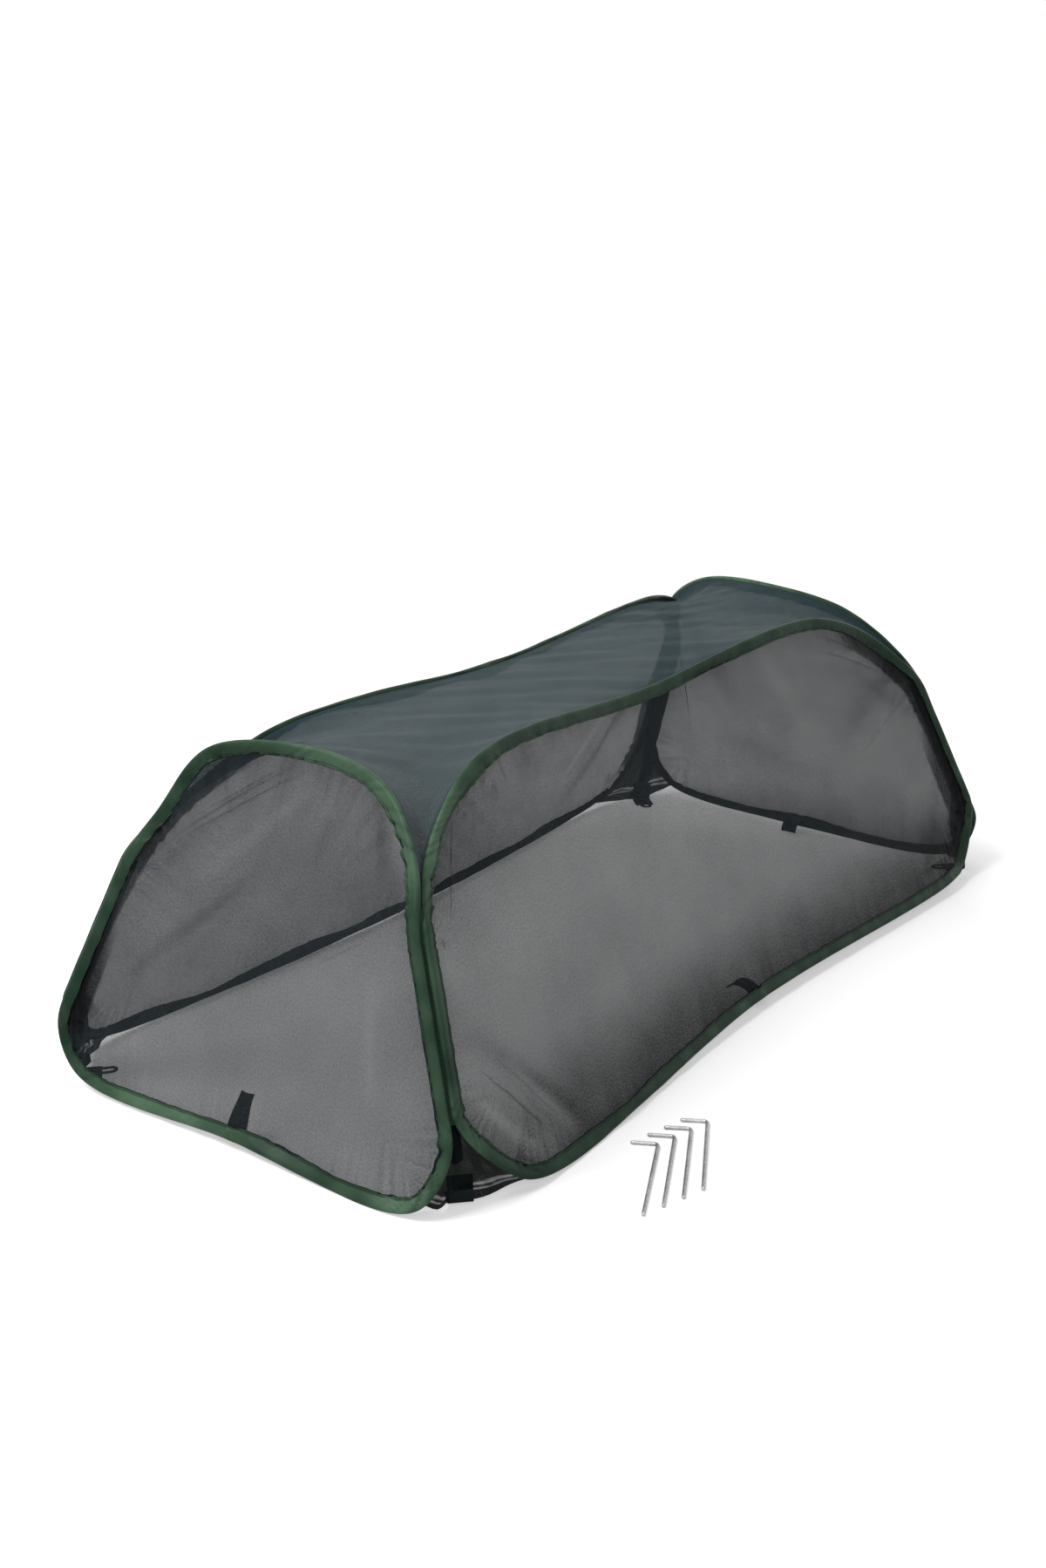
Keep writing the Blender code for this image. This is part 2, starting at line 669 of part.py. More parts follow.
def make_panels():
    long_sizes = dict(
        foot_inset=LONG_FOOT_INSET, low_corner_v=LONG_LOW_CORNER_V,
        low_corner_inset=LONG_LOW_CORNER_INSET, high_corner_v=LONG_HIGH_CORNER_V,
        high_corner_inset=LONG_HIGH_CORNER_INSET,
        hump_inset=LONG_HUMP_INSET, hump_v=LONG_HUMP_V, top_sag=LONG_TOP_SAG,
        foot_lift=LONG_FOOT_LIFT, low_bow=LONG_LOW_BOW, top_bow=LONG_TOP_BOW,
    )
    end_sizes = dict(
        foot_inset=END_FOOT_INSET, low_corner_v=END_LOW_CORNER_V,
        low_corner_inset=END_LOW_CORNER_INSET, high_corner_v=END_HIGH_CORNER_V,
        high_corner_inset=END_HIGH_CORNER_INSET,
        hump_inset=END_HUMP_INSET, hump_v=END_HUMP_V, top_sag=END_TOP_SAG,
        foot_lift=END_FOOT_LIFT, low_bow=END_LOW_BOW, top_bow=END_TOP_BOW,
    )
    x, y = Vector((1, 0, 0)), Vector((0, 1, 0))
    long_panel = (WIDTH / 2, LENGTH / 2, LONG_LEAN, END_LEAN)
    end_panel = (LENGTH / 2, WIDTH / 2, END_LEAN, LONG_LEAN)
    return {
        "front": Panel("front", *long_panel, -y, x, long_sizes),
        "back": Panel("back", *long_panel, y, x, long_sizes),
        "left": Panel("left", *end_panel, -x, y, end_sizes),
        "right": Panel("right", *end_panel, x, y, end_sizes),
    }


def main():
    clear_scene()
    parts = bpy.data.collections.new("insect_net_row_cover")
    guides = bpy.data.collections.new("guides")
    for collection in (parts, guides):
        bpy.context.scene.collection.children.link(collection)
    satin = make_material("green_satin_tape", GREEN, 0.45)
    net = make_material("fine_net", MESH_GREY, 0.85)
    roof = make_material("top_net", TOP_GREY, 0.80)
    webbing = make_material("black_webbing", BLACK, 0.80)
    spring = make_material("spring_steel", SPRING_GREY, 0.35, 1.0)
    zinc = make_material("galvanised_steel", ZINC, 0.40, 1.0)

    panels = make_panels()
    hoops = {name: Hoop(panel) for name, panel in panels.items()}
    corners = {
        "near_left": ("front", "left", True, True),
        "near_right": ("front", "right", False, True),
        "far_left": ("back", "left", True, False),
        "far_right": ("back", "right", False, False),
    }
    carrier = {"near_left": "front", "near_right": "front", "far_left": "left", "far_right": "right"}
    pieces = {name: [] for name in panels}
    for name, hoop in hoops.items():
        pieces[name] += [
            make_sleeve(hoop, satin, parts, guides),
            make_wire(hoop, spring, parts, guides),
            make_ferrule(hoop, zinc, parts),
            make_net(hoop, net, parts),
        ]
    pieces["front"].append(make_top_net(hoops, roof, parts))
    seam_lines = {}
    for name, (long_name, end_name, long_left, end_left) in corners.items():
        foot, direction, inside = corner_frame(panels[long_name], panels[end_name])
        seam_lines[name] = (foot, direction)
        pieces[carrier[name]] += [
            make_bead("corner_seam_" + name, seam_lines[name], webbing, parts, guides),
            make_gusset(
                "gusset_" + name, hoops[long_name], hoops[end_name], long_left, end_left, net, parts
            ),
            make_patch("corner_patch_" + name, corner_foot(foot, inside), inside, webbing, parts),
            make_loop("peg_loop_" + name, corner_foot(foot, inside), inside, webbing, parts),
        ]

    body_places = {
        "front": Vector((0, 0, 0)),
        "left": on_line(seam_lines["near_left"], RACK_HIGH_Z),
        "back": on_line(seam_lines["far_left"], RACK_LOW_Z),
        "right": on_line(seam_lines["near_right"], RACK_LOW_Z),
    }
    bodies = {name: make_body("body_" + name, place, guides) for name, place in body_places.items()}
    for name, body in bodies.items():
        attach(pieces[name], body)
    for name, hoop in hoops.items():
        tab_pivot = make_body("body_tab_" + name, hoop.panel.at(tab_base(hoop)), guides)
        attach([make_tab(hoop, webbing, parts)], tab_pivot)
        attach([tab_pivot], bodies[name])
    for index in range(PEG_COUNT):
        make_peg(index, zinc, parts, guides)
    for body in guides.objects:
        if body.type == "EMPTY":
            print(body.name, [round(c, 5) for c in body.matrix_world.translation])


main()
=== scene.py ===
"""Insect net row cover: sleeves, nets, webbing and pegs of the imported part, dressed for the picture.

The part's frame: X along the cover's length, Y across its width, Z up, in metres.
"""
import math

import bmesh
import bpy
import numpy as np
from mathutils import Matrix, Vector, kdtree


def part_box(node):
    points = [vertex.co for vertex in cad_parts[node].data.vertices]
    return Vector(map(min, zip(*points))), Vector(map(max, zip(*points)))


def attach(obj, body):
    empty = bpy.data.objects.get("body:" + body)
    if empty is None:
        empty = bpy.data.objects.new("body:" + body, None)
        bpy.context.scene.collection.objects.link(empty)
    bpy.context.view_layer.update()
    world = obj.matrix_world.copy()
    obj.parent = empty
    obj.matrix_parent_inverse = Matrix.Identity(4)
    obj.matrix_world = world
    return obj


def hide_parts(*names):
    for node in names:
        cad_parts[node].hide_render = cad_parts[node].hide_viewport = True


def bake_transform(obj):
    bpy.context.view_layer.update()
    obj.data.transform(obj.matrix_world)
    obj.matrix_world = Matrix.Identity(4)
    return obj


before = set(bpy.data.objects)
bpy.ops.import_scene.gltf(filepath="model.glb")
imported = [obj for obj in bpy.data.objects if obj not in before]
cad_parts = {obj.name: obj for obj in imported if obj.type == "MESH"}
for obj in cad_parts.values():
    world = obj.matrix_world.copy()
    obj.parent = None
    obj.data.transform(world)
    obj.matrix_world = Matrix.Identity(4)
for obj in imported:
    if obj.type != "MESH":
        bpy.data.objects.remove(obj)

# Driving sizes of the part, which the hoops are worked out from
LENGTH = 1.216
WIDTH = 0.586
LONG_LEAN = math.radians(21.0)
END_LEAN = math.radians(13.7)
SEAM_LOW_Z = 0.100
SEAM_HIGH_Z = 0.245
FOLD_R = 0.00294            # outside of the tape where it runs round the wire
SEAM_BEAD_R = 0.0012
CLEARANCE = 0.0003
FOOT_SETBACK = 0.050        # from the seam's line to a corner's foot, along the diagonal
MIDDLE_Y = sum(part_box("net_top")[k][1] for k in (0, 1)) / 2

LONG_SHAPE = dict(
    foot_inset=0.118, low_inset=0.073, low_v=0.027, high_inset=0.112, high_v=0.329,
    hump_inset=0.239, hump_v=0.394, top_sag=0.002, foot_lift=0.008, low_bow=0.022, top_bow=0.051,
)
END_SHAPE = dict(
    foot_inset=0.058, low_inset=0.032, low_v=0.060, high_inset=0.125, high_v=0.319,
    hump_inset=0.187, hump_v=0.378, top_sag=-0.014, foot_lift=0.002, low_bow=0.008, top_bow=0.054,
)

# How far each hoop stands from its pattern in millimetres, across, up and out, by the number of
# the point in its outline
HOOP_SET = {
    "front": {
        0: (0, 6, -1), 1: (-12, 9, -4), 2: (-9, 3, -8), 6: (2, 2, 0), 7: (2, 5, 5), 8: (0, 7, 0),
        9: (2, 8, 3), 14: (3, 4, 2), 15: (0, -2, 5),
    },
    "left": {
        0: (2, -3, 9), 1: (-7, 8, -10), 2: (-4, 3, -5), 6: (-4, -5, -3), 7: (6, 9, 4), 8: (0, 12, 0),
        9: (-5, 4, -5), 14: (3, 0, 0), 15: (-3, -3, 14),
    },
    "back": {0: (0, -2, -4), 2: (0, 0, -3), 6: (12, 10, 1), 7: (12, 1, -4), 8: (0, 6, 5), 9: (-2, 0, 3)},
    "right": {
        0: (0, -2, -12), 1: (-5, 5, 8), 2: (-7, 2, 6), 6: (12, 9, -1), 7: (8, 3, 0), 8: (0, 7, 4),
        9: (3, -8, -6), 10: (3, -4, -4), 14: (3, 0, 2), 15: (0, 5, -14),
    },
}

OUTLINE_STEPS = 24          # points of the wire between two points of its outline
WIRE_R = 0.0011
FERRULE_R = 0.0018
FERRULE_LENGTH = 0.030
CRIMP_DEPTH = 0.00022

# Painted light and shade on the tape's satin on each hoop, from its shaded colour at 0 to its lighter
# one at 1: everywhere, then more or less round places in a panel's (u, v), each with its reach and amount
PAINTED_SATIN_LIGHT = {
    "left": (0.16, [
        (-0.030, 0.400, 0.085, 0.55), (0.100, 0.015, 0.085, 0.65), (-0.230, 0.006, 0.040, 0.60),
        (-0.165, 0.345, 0.050, 0.40), (0.250, 0.120, 0.090, -0.10),
    ]),
    "front": (0.05, [
        (-0.475, 0.355, 0.070, 0.85), (-0.545, 0.090, 0.032, 0.70), (-0.530, 0.220, 0.050, 0.25),
    ]),
    "right": (0.13, [(0.060, 0.370, 0.110, 0.70)]),
    "back": (0.10, [(0.200, 0.380, 0.060, 0.25), (-0.250, 0.360, 0.060, 0.35)]),
}

# Where the tape is gathered hard, in a panel's (u, v), and how far that reaches
SCRUNCHED = {
    "front": (-0.485, 0.312, 0.050), "left": (-0.150, 0.315, 0.035), "back": (-0.470, 0.320, 0.060),
}

# Sewn tape
SLEEVE_IN = 0.0121          # from the wire to the tape's inner edge
STITCH_IN = 0.0097          # and to the row of stitches
NET_IN = 0.0085             # and to the net's edge, between the two layers
TAPE_THICKNESS = 0.0005
LIP_HEIGHT = 0.00062        # from the panel to the middle of a layer at the stitches
LIP_IN = 0.0092             # past this the two layers lie flat on each other
# painted shade on the tape where its two layers lie flat, towards its inner edge
LIP_PAINTED_SHADE = 0.55
STATION = 0.004             # between two cross sections along a hoop
PUCKER_WAVE = 0.011         # mean length of a pucker along the tape
PUCKER_HEIGHT = 0.0009
CALM_PUCKER = 0.45          # share of that height where the wire is straight
TIGHT_BEND = 6.0            # bend, in 1/m, that adds one more share
MOST_PUCKER = 2.2           # most shares that a bend adds, and what a hard gather adds
CREASE_HEIGHT = 0.00028     # small creases between the fold and the lips
CREASE_WAVE = 0.009
CRUSH = 0.10                # how far the fold round the wire is squashed or blown up
CRUSH_WAVE = 0.05
EDGE_WAVER = 0.0004
EDGE_WAVE = 0.03
LAP_HALF = 0.007            # half the length over which the tape's two ends lap
LAP_RISE = 0.0007
LAP_DRAWN_IN = 0.10
TWIST = 0.30                # slope of the tape out of its panel where it twists
TWIST_WAVE = 0.17
SEAM_HALF = 0.085           # from a corner seam's middle to where the tape may twist
SEAM_FADE = 0.05
SATIN_PITCH = (0.0007, 0.0011)      # between two threads, along the tape and across it
WEBBING_PITCH = (0.0016, 0.0012)
STITCH_PITCH = 0.0032
STITCH_LENGTH = 0.0024
THREAD_R = 0.00028

# Nets
NET_BELLY = 0.010           # how far a panel's net swells out
NET_COLUMNS = 220
NET_ROWS = 70
NET_PITCH = 0.0016          # between two threads as they are drawn
RIM_REACH = 0.035           # how far gathers run from the rim into a net
GATHER_WAVE = 0.013
GATHER_HEIGHT = 0.0011
BILLOW_WAVE = 0.16
BILLOW_HEIGHT = 0.0016
RIM_DENSITY = 0.06
RIM_DENSITY_REACH = 0.012

# Roof
TOP_COLUMNS = 200
TOP_ROWS = 90
TOP_SPAN = (1.1, 0.4)       # its rough length and width
TOP_SLACK = 1.06            # its width along the cloth for each metre of its width in plan
SETTLE_ROUNDS = 6000

# Picture
CAMERA_PLACE = (-2.0906, -1.3205, 1.0314)
CAMERA_YAW = math.radians(55.55)
CAMERA_PITCH = math.radians(17.86)
IMAGE_HEIGHT = 1799
FOCAL_PIXELS = 2557.6
SHIFT_PIXELS = (19.4, 0.1)
SENSOR_HEIGHT = 36.0        # in millimetres
FLOOR_REACH = 2.6
FLOOR_WIDER = 1.15          # how much sooner the ground fades across than along
FLOOR_FADE = (0.95, 1.9)    # distances between which the ground turns see-through
FLOOR_LIFT = (0.34, 0.66)   # white added where the camera sees the ground, near and far; more further out, as painted light that washes out the object's shadow there
FLOOR_LIFT_FADE = (0.52, 0.80)
ROOM_LIGHT = 0.42           # strength of the white room as a light, beside 1 where it is seen


def ripple(seed, *coords, terms=7):
    """Smooth random waves of about unit height and unit wavelength over the given coordinates."""
    rng = np.random.default_rng(seed)
    total = 0.0
    for _ in range(terms):
        pace = rng.uniform(0.55, 1.5)
        turn = rng.normal(size=len(coords))
        turn = turn / np.linalg.norm(turn) if len(coords) > 1 else np.ones(1)
        phase = rng.uniform(0, 2 * math.pi)
        total = total + np.sin(2 * math.pi * pace * sum(c * d for c, d in zip(coords, turn)) + phase)
    return total / math.sqrt(terms)


def unit(vectors):
    """Each vector at a length of one."""
    return vectors / np.linalg.norm(vectors, axis=-1, keepdims=True)


def smooth_step(x):
    """Eases from 0 to 1 while x goes from 0 to 1."""
    x = np.clip(x, 0.0, 1.0)
    return x * x * (3 - 2 * x)


def travelled(points):
    """The distance of each point along an open line."""
    return np.concatenate([[0.0], np.cumsum(np.linalg.norm(np.diff(points, axis=0), axis=1))])


def spaced(points, travel, wanted):
    """The line's points again, at the wanted distances along it."""
    return np.stack([np.interp(wanted, travel, column) for column in points.T], axis=1)


# Outline of a hoop


def wire_setback():
    """From the corner where two panels meet to the wire, so that the sleeve touches the seam."""
    half_corner = (math.pi - math.acos(math.sin(LONG_LEAN) * math.sin(END_LEAN))) / 2
    inset = FOLD_R + CLEARANCE
    reach = FOLD_R + SEAM_BEAD_R + CLEARANCE
    return inset / math.tan(half_corner) + math.sqrt(reach ** 2 - inset ** 2)


def seam_point(half, lean, other_lean, z):
    """Where the wire passes a height beside the corner's seam."""
    tilt = math.atan(math.tan(other_lean) * math.cos(lean))
    return (half - z * math.tan(other_lean) - wire_setback() / math.cos(tilt), z / math.cos(lean), 0.0)


def outline(half, lean, other_lean, shape, raised, set_by):
    """The points that the wire passes through, from the middle of the lower run to the right."""
    s = shape
    ground = FOLD_R / math.cos(lean) + raised
    points = [
        (0.0, ground + s["foot_lift"], -s["low_bow"]),
        (half - s["foot_inset"], ground, 0.0),
        (half - s["low_inset"], s["low_v"], 0.0),
        seam_point(half, lean, other_lean, SEAM_LOW_Z),
        seam_point(half, lean, other_lean, (SEAM_LOW_Z + SEAM_HIGH_Z) / 2),
        seam_point(half, lean, other_lean, SEAM_HIGH_Z),
        (half - s["high_inset"], s["high_v"], -s["top_bow"] / 4),
        (half - s["hump_inset"], s["hump_v"], -s["top_bow"] / 2),
        (0.0, s["hump_v"] - s["top_sag"], -s["top_bow"]),
    ]
    points += [(-u, v, w) for u, v, w in points[-2:0:-1]]
    return [Vector(p) + Vector(set_by.get(i, (0, 0, 0))) / 1000 for i, p in enumerate(points)]


def smooth_loop(points, steps):
    """A closed curve through the points, straight towards the middle of each corner seam."""
    count = len(points)
    # The two ends of each seam point at its middle
    straight = {3: 4, 5: 4, count - 3: count - 4, count - 5: count - 4}
    spans = [(points[(i + 1) % count] - points[i]).length ** 0.5 for i in range(count)]
    slopes = []
    for i, point in enumerate(points):
        before, after = points[i - 1], points[(i + 1) % count]
        d0, d1 = spans[i - 1], spans[i]
        slope = (point - before) / d0 - (after - before) / (d0 + d1) + (after - point) / d1
        if i in straight:
            along = (points[straight[i]] - point).normalized()
            slope = along * slope.dot(along)
        slopes.append(slope)
    loop = []
    for i, start in enumerate(points):
        end = points[(i + 1) % count]
        slope_start, slope_end = slopes[i] * spans[i], slopes[(i + 1) % count] * spans[i]
        for k in range(steps):
            t = k / steps
            loop.append(
                start * (2 * t ** 3 - 3 * t ** 2 + 1) + slope_start * (t ** 3 - 2 * t ** 2 + t)
                + end * (3 * t ** 2 - 2 * t ** 3) + slope_end * (t ** 3 - t ** 2)
            )
    return np.array([tuple(p) for p in loop])


def evenly(loop, spacing):
    """The closed loop again with even spacing, and the distance of each point along it."""
    closed = np.vstack([loop, loop[:1]])
    travel = travelled(closed)
    count = int(round(travel[-1] / spacing))
    along = np.arange(count) * travel[-1] / count
    return spaced(closed, travel, along), along


class Hoop:
    """A sprung hoop: its wire in the panel's (u, v, w), and the way to the part's frame."""

    def __init__(self, name, side, half, lean, other_lean, out, across, shape, seed):
        self.name, self.half, self.lean, self.other_lean, self.seed = name, half, lean, other_lean, seed
        self.out = np.array(out, float)
        u = np.array(across, float)
        v = np.array((0, 0, math.cos(lean))) - self.out * math.sin(lean)
        w = self.out * math.cos(lean) + np.array((0, 0, math.sin(lean)))
        self.axes = np.stack([u, v, w])
        self.origin = self.out * side + np.array((0, MIDDLE_Y, 0))
        raised = 0.0
        for _ in range(4):
            points = outline(half, lean, other_lean, shape, raised, HOOP_SET[name])
            loop = smooth_loop(points, OUTLINE_STEPS)
            raised += (FOLD_R - self.world(loop)[:, 2].min()) / math.cos(lean)
        self.wire, self.along = evenly(loop, STATION)
        self.length = self.along[-1] + self.along[1]
        self.tangent = unit(np.roll(self.wire, -1, axis=0) - np.roll(self.wire, 1, axis=0))
        flat = np.stack([-self.tangent[:, 1], self.tangent[:, 0], 0 * self.tangent[:, 0]], axis=1)
        self.inward = unit(flat)
        self.outward = np.cross(self.tangent, self.inward)
        self.bend = self.measure_bend()
        self.scrunch = self.measure_scrunch()
        self.sway = PUCKER_HEIGHT * self.scrunch * self.waves(seed, PUCKER_WAVE)
        from_seam = np.abs(self.wire[:, 1] * math.cos(lean) - (SEAM_LOW_Z + SEAM_HIGH_Z) / 2)
        free = smooth_step((from_seam - SEAM_HALF) / SEAM_FADE)
        self.twist = TWIST * self.waves(seed + 9, TWIST_WAVE) * free

    def measure_bend(self):
        """How hard the wire bends, in 1/m, evened out along it."""
        turn = np.roll(self.tangent, -3, axis=0) - np.roll(self.tangent, 3, axis=0)
        bend = np.linalg.norm(turn, axis=1) / (6 * STATION)
        return np.convolve(np.concatenate([bend[-4:], bend, bend[:4]]), np.ones(9) / 9, mode="valid")

    def measure_scrunch(self):
        """How hard the tape is puckered: harder in a bend, and hardest where it is gathered."""
        scrunch = CALM_PUCKER + np.clip(self.bend / TIGHT_BEND, 0, MOST_PUCKER)
        if self.name in SCRUNCHED:
            u, v, reach = SCRUNCHED[self.name]
            scrunch = scrunch + MOST_PUCKER * np.exp(-(self.distance_to(u, v) / reach) ** 2)
        return scrunch

    def distance_to(self, u, v):
        """The distance of each point of the wire from a place in the panel."""
        return np.hypot(self.wire[:, 0] - u, self.wire[:, 1] - v)

    def waves(self, seed, wavelength, shift=0.0):
        """Random waves along the hoop that close on themselves."""
        angle = 2 * math.pi * (self.along + shift) / self.length
        radius = self.length / wavelength / (2 * math.pi)
        return ripple(seed, radius * np.cos(angle), radius * np.sin(angle), terms=9)

    def world(self, points):
        """Points of the panel in the part's frame."""
        return self.origin + points @ self.axes

    def rise(self, inwards):
        """How far the tape stands out of its panel: it twists, and puckers towards its inner edge."""
        return self.sway * np.clip(inwards / SLEEVE_IN, 0, 1) ** 2 + self.twist * inwards

    def offset(self, inwards):
        """Points beside the wire, in (u, v, w)."""
        return self.wire + self.inward * inwards + self.outward * self.rise(inwards)[:, None]


def make_hoops():
    """The four hoops by the side that they stand on."""
    long_panel = (WIDTH / 2, LENGTH / 2, LONG_LEAN, END_LEAN)
    end_panel = (LENGTH / 2, WIDTH / 2, END_LEAN, LONG_LEAN)
    return {
        "front": Hoop("front", *long_panel, (0, -1, 0), (1, 0, 0), LONG_SHAPE, 3),
        "back": Hoop("back", *long_panel, (0, 1, 0), (1, 0, 0), LONG_SHAPE, 5),
        "left": Hoop("left", *end_panel, (-1, 0, 0), (0, 1, 0), END_SHAPE, 7),
        "right": Hoop("right", *end_panel, (1, 0, 0), (0, 1, 0), END_SHAPE, 11),
    }


# Meshes


def mesh_object(name, points, faces, material, uvs=None, attributes=(), smooth=True, outward=False):
    """A mesh in the part's frame. uvs has one pair for each point, in metres."""
    mesh = bpy.data.meshes.new(name)
    mesh.from_pydata([tuple(p) for p in points], [], [tuple(int(i) for i in face) for face in faces])
    if outward:
        bm = bmesh.new()
        bm.from_mesh(mesh)
        bmesh.ops.recalc_face_normals(bm, faces=bm.faces)
        bm.to_mesh(mesh)
        bm.free()
    if uvs is not None:
        layer = mesh.uv_layers.new(name="cloth")
        corner = np.empty(len(mesh.loops), dtype=np.int32)
        mesh.loops.foreach_get("vertex_index", corner)
        layer.data.foreach_set("uv", np.asarray(uvs, np.float32)[corner].ravel())
    for label, values in dict(attributes).items():
        layer = mesh.attributes.new(label, "FLOAT", "POINT")
        layer.data.foreach_set("value", np.asarray(values, np.float32))
    mesh.polygons.foreach_set("use_smooth", np.full(len(mesh.polygons), smooth))
    mesh.materials.append(material)
    ob = bpy.data.objects.new(name, mesh)
    bpy.context.scene.collection.objects.link(ob)
    return ob


def grid_faces(rows, columns, closed_rows=False, closed_columns=False):
    """Faces of a grid whose points are stored row after row."""
    faces = []
    for j in range(rows if closed_rows else rows - 1):
        for i in range(columns if closed_columns else columns - 1):
            a, b = j * columns + i, j * columns + (i + 1) % columns
            c, d = ((j + 1) % rows) * columns + (i + 1) % columns, ((j + 1) % rows) * columns + i
            faces.append((a, b, c, d))
    return faces


def thick_sheet(name, rows, thickness, material, uvs, closed_rows=False, attributes=()):
    """A sheet with two faces and its edges, from an array of rows of points.

    Attributes have a value for each point of the first face's row, then of the second's, turned back.
    """
    rows = np.asarray(rows, float)
    across = np.gradient(rows, axis=1)
    if closed_rows:
        down = np.roll(rows, -1, axis=0) - np.roll(rows, 1, axis=0)
    else:
        down = np.gradient(rows, axis=0)
    normal = unit(np.cross(across, down) + 1e-12)
    front, back = rows + normal * thickness / 2, rows - normal * thickness / 2
    ring = np.concatenate([front, back[:, ::-1]], axis=1)
    count, width = ring.shape[:2]
    uvs = np.asarray(uvs, float)
    ring_uvs = np.concatenate([uvs, uvs[:, ::-1]], axis=1)
    faces = grid_faces(count, width, closed_rows, True)
    if not closed_rows:
        for base in (0, (count - 1) * width):
            last = base + width - 1
            faces += [(base + i, base + i + 1, last - i - 1, last - i) for i in range(width // 2 - 1)]
    return mesh_object(
        name, ring.reshape(-1, 3), faces, material, ring_uvs.reshape(-1, 2), attributes, outward=True
    )


def tube(name, path, radius, sides, material):
    """A round rod along the path, with rounded ends."""
    path = np.asarray(path, float)
    radii = np.broadcast_to(np.asarray(radius, float), (len(path),))
    tangent = unit(np.gradient(path, axis=0))
    guide = np.array((0.0, 0.0, 1.0)) if abs(tangent[:, 2]).max() < 0.9 else np.array((0.31, 0.95, 0.05))
    side = unit(np.cross(tangent, guide))
    up = np.cross(side, tangent)
    rings = list(zip(path, side, up, radii))
    for end, way in ((0, -1), (-1, 1)):
        cap = []
        for angle in (math.radians(35), math.radians(65)):
            centre = path[end] + tangent[end] * way * radii[end] * math.sin(angle)
            cap.append((centre, side[end], up[end], radii[end] * math.cos(angle)))
        rings = rings + cap if way > 0 else cap[::-1] + rings
    angles = np.arange(sides) * 2 * math.pi / sides
    points, uvs, travel, last = [], [], 0.0, rings[0][0]
    for centre, s, u, r in rings:
        travel += np.linalg.norm(centre - last)
        last = centre
        points += [centre + (s * math.cos(a) + u * math.sin(a)) * r for a in angles]
        uvs += [(travel, r * a) for a in angles]
    faces = grid_faces(len(rings), sides, closed_columns=True)
    faces += [tuple(range(sides)), tuple(len(points) - sides + k for k in range(sides))]
    return mesh_object(name, points, faces, material, uvs, outward=True)


def joined(name, objects):
    """One object from several that move together. The first one's name is replaced."""
    with bpy.context.temp_override(
        active_object=objects[0], object=objects[0],
        selected_objects=objects, selected_editable_objects=objects,
    ):
        bpy.ops.object.join()
    objects[0].name = objects[0].data.name = name
    return objects[0]


# Materials


class Nodes:
    """Short calls for building a material's node tree."""

    def __init__(self, name):
        self.material = bpy.data.materials.new(name)
        self.material.use_nodes = True
        self.tree = self.material.node_tree
        self.shader = self.tree.nodes["Principled BSDF"]

    def add(self, kind, **inputs):
        """A node of that kind, with inputs set by name, or by number as in _0, to values or sockets."""
        node = self.tree.nodes.new(kind)
        for key, value in inputs.items():
            self.put(node, key, value)
        return node

    def put(self, node, key, value):
        if hasattr(node, key) and key not in node.inputs:
            setattr(node, key, value)
            return
        slot = node.inputs[key if key in node.inputs else int(key[1:])]
        if isinstance(value, bpy.types.NodeSocket):
            self.tree.links.new(value, slot)
        else:
            slot.default_value = value

    def math(self, operation, a, b=0.0):
        return self.add("ShaderNodeMath", operation=operation, _0=a, _1=b).outputs[0]

    def mix(self, factor, a, b):
        """Colour a turning into colour b."""
        node = self.add("ShaderNodeMix", data_type="RGBA")
        for index, value in ((0, factor), (6, a), (7, b)):
            if isinstance(value, bpy.types.NodeSocket):
                self.tree.links.new(value, node.inputs[index])
            elif index:
                node.inputs[index].default_value = (*value, 1.0)
            else:
                node.inputs[index].default_value = value
        return node.outputs[2]

    def spread(self, value, low, high, out_low, out_high):
        """Maps a value from one range to another, clamped."""
        node = self.add("ShaderNodeMapRange")
        names = ("Value", "From Min", "From Max", "To Min", "To Max")
        for key, number in zip(names, (value, low, high, out_low, out_high)):
            self.put(node, key, number)
        return node.outputs[0]

    def cloth(self):
        """The cloth's own coordinates, in metres."""
        return self.add("ShaderNodeUVMap", uv_map="cloth").outputs[0]

    def place(self):
        """The place in the part's frame."""
        return self.add("ShaderNodeTexCoord").outputs["Object"]

    def painted(self, attribute):
        """A value that the mesh carries at its points."""
        return self.add("ShaderNodeAttribute", attribute_name=attribute).outputs["Fac"]

    def noise(self, vector, scale, detail=3.0, roughness=0.5):
        node = self.add("ShaderNodeTexNoise")
        names = ("Vector", "Scale", "Detail", "Roughness")
        for key, value in zip(names, (vector, scale, detail, roughness)):
            self.put(node, key, value)
        return node.outputs[0]

    def threads(self, vector, pitch, axis):
        """Ribs from 0 to 1 across one direction of the cloth."""
        parts = self.add("ShaderNodeSeparateXYZ", _0=vector)
        sine = self.math("SINE", self.math("MULTIPLY", parts.outputs[axis], 2 * math.pi / pitch))
        return self.add("ShaderNodeMath", operation="MULTIPLY_ADD", _0=sine, _1=0.5, _2=0.5).outputs[0]

    def bump(self, height, distance, strength):
        node = self.add("ShaderNodeBump")
        for key, value in (("Strength", strength), ("Distance", distance), ("Height", height)):
            self.put(node, key, value)
        self.tree.links.new(node.outputs[0], self.shader.inputs["Normal"])

    def surface(self, **values):
        names = {
            "colour": "Base Color", "rough": "Roughness", "metal": "Metallic", "alpha": "Alpha",
            "sheen": "Sheen Weight", "sheen_rough": "Sheen Roughness", "gloss": "Specular IOR Level",
            "sideways": "Anisotropic", "sheen_tint": "Sheen Tint",
        }
        for key, value in values.items():
            if isinstance(value, tuple) and len(value) == 3:
                value = (*value, 1.0)
            self.put(self.shader, names[key], value)
        return self.material


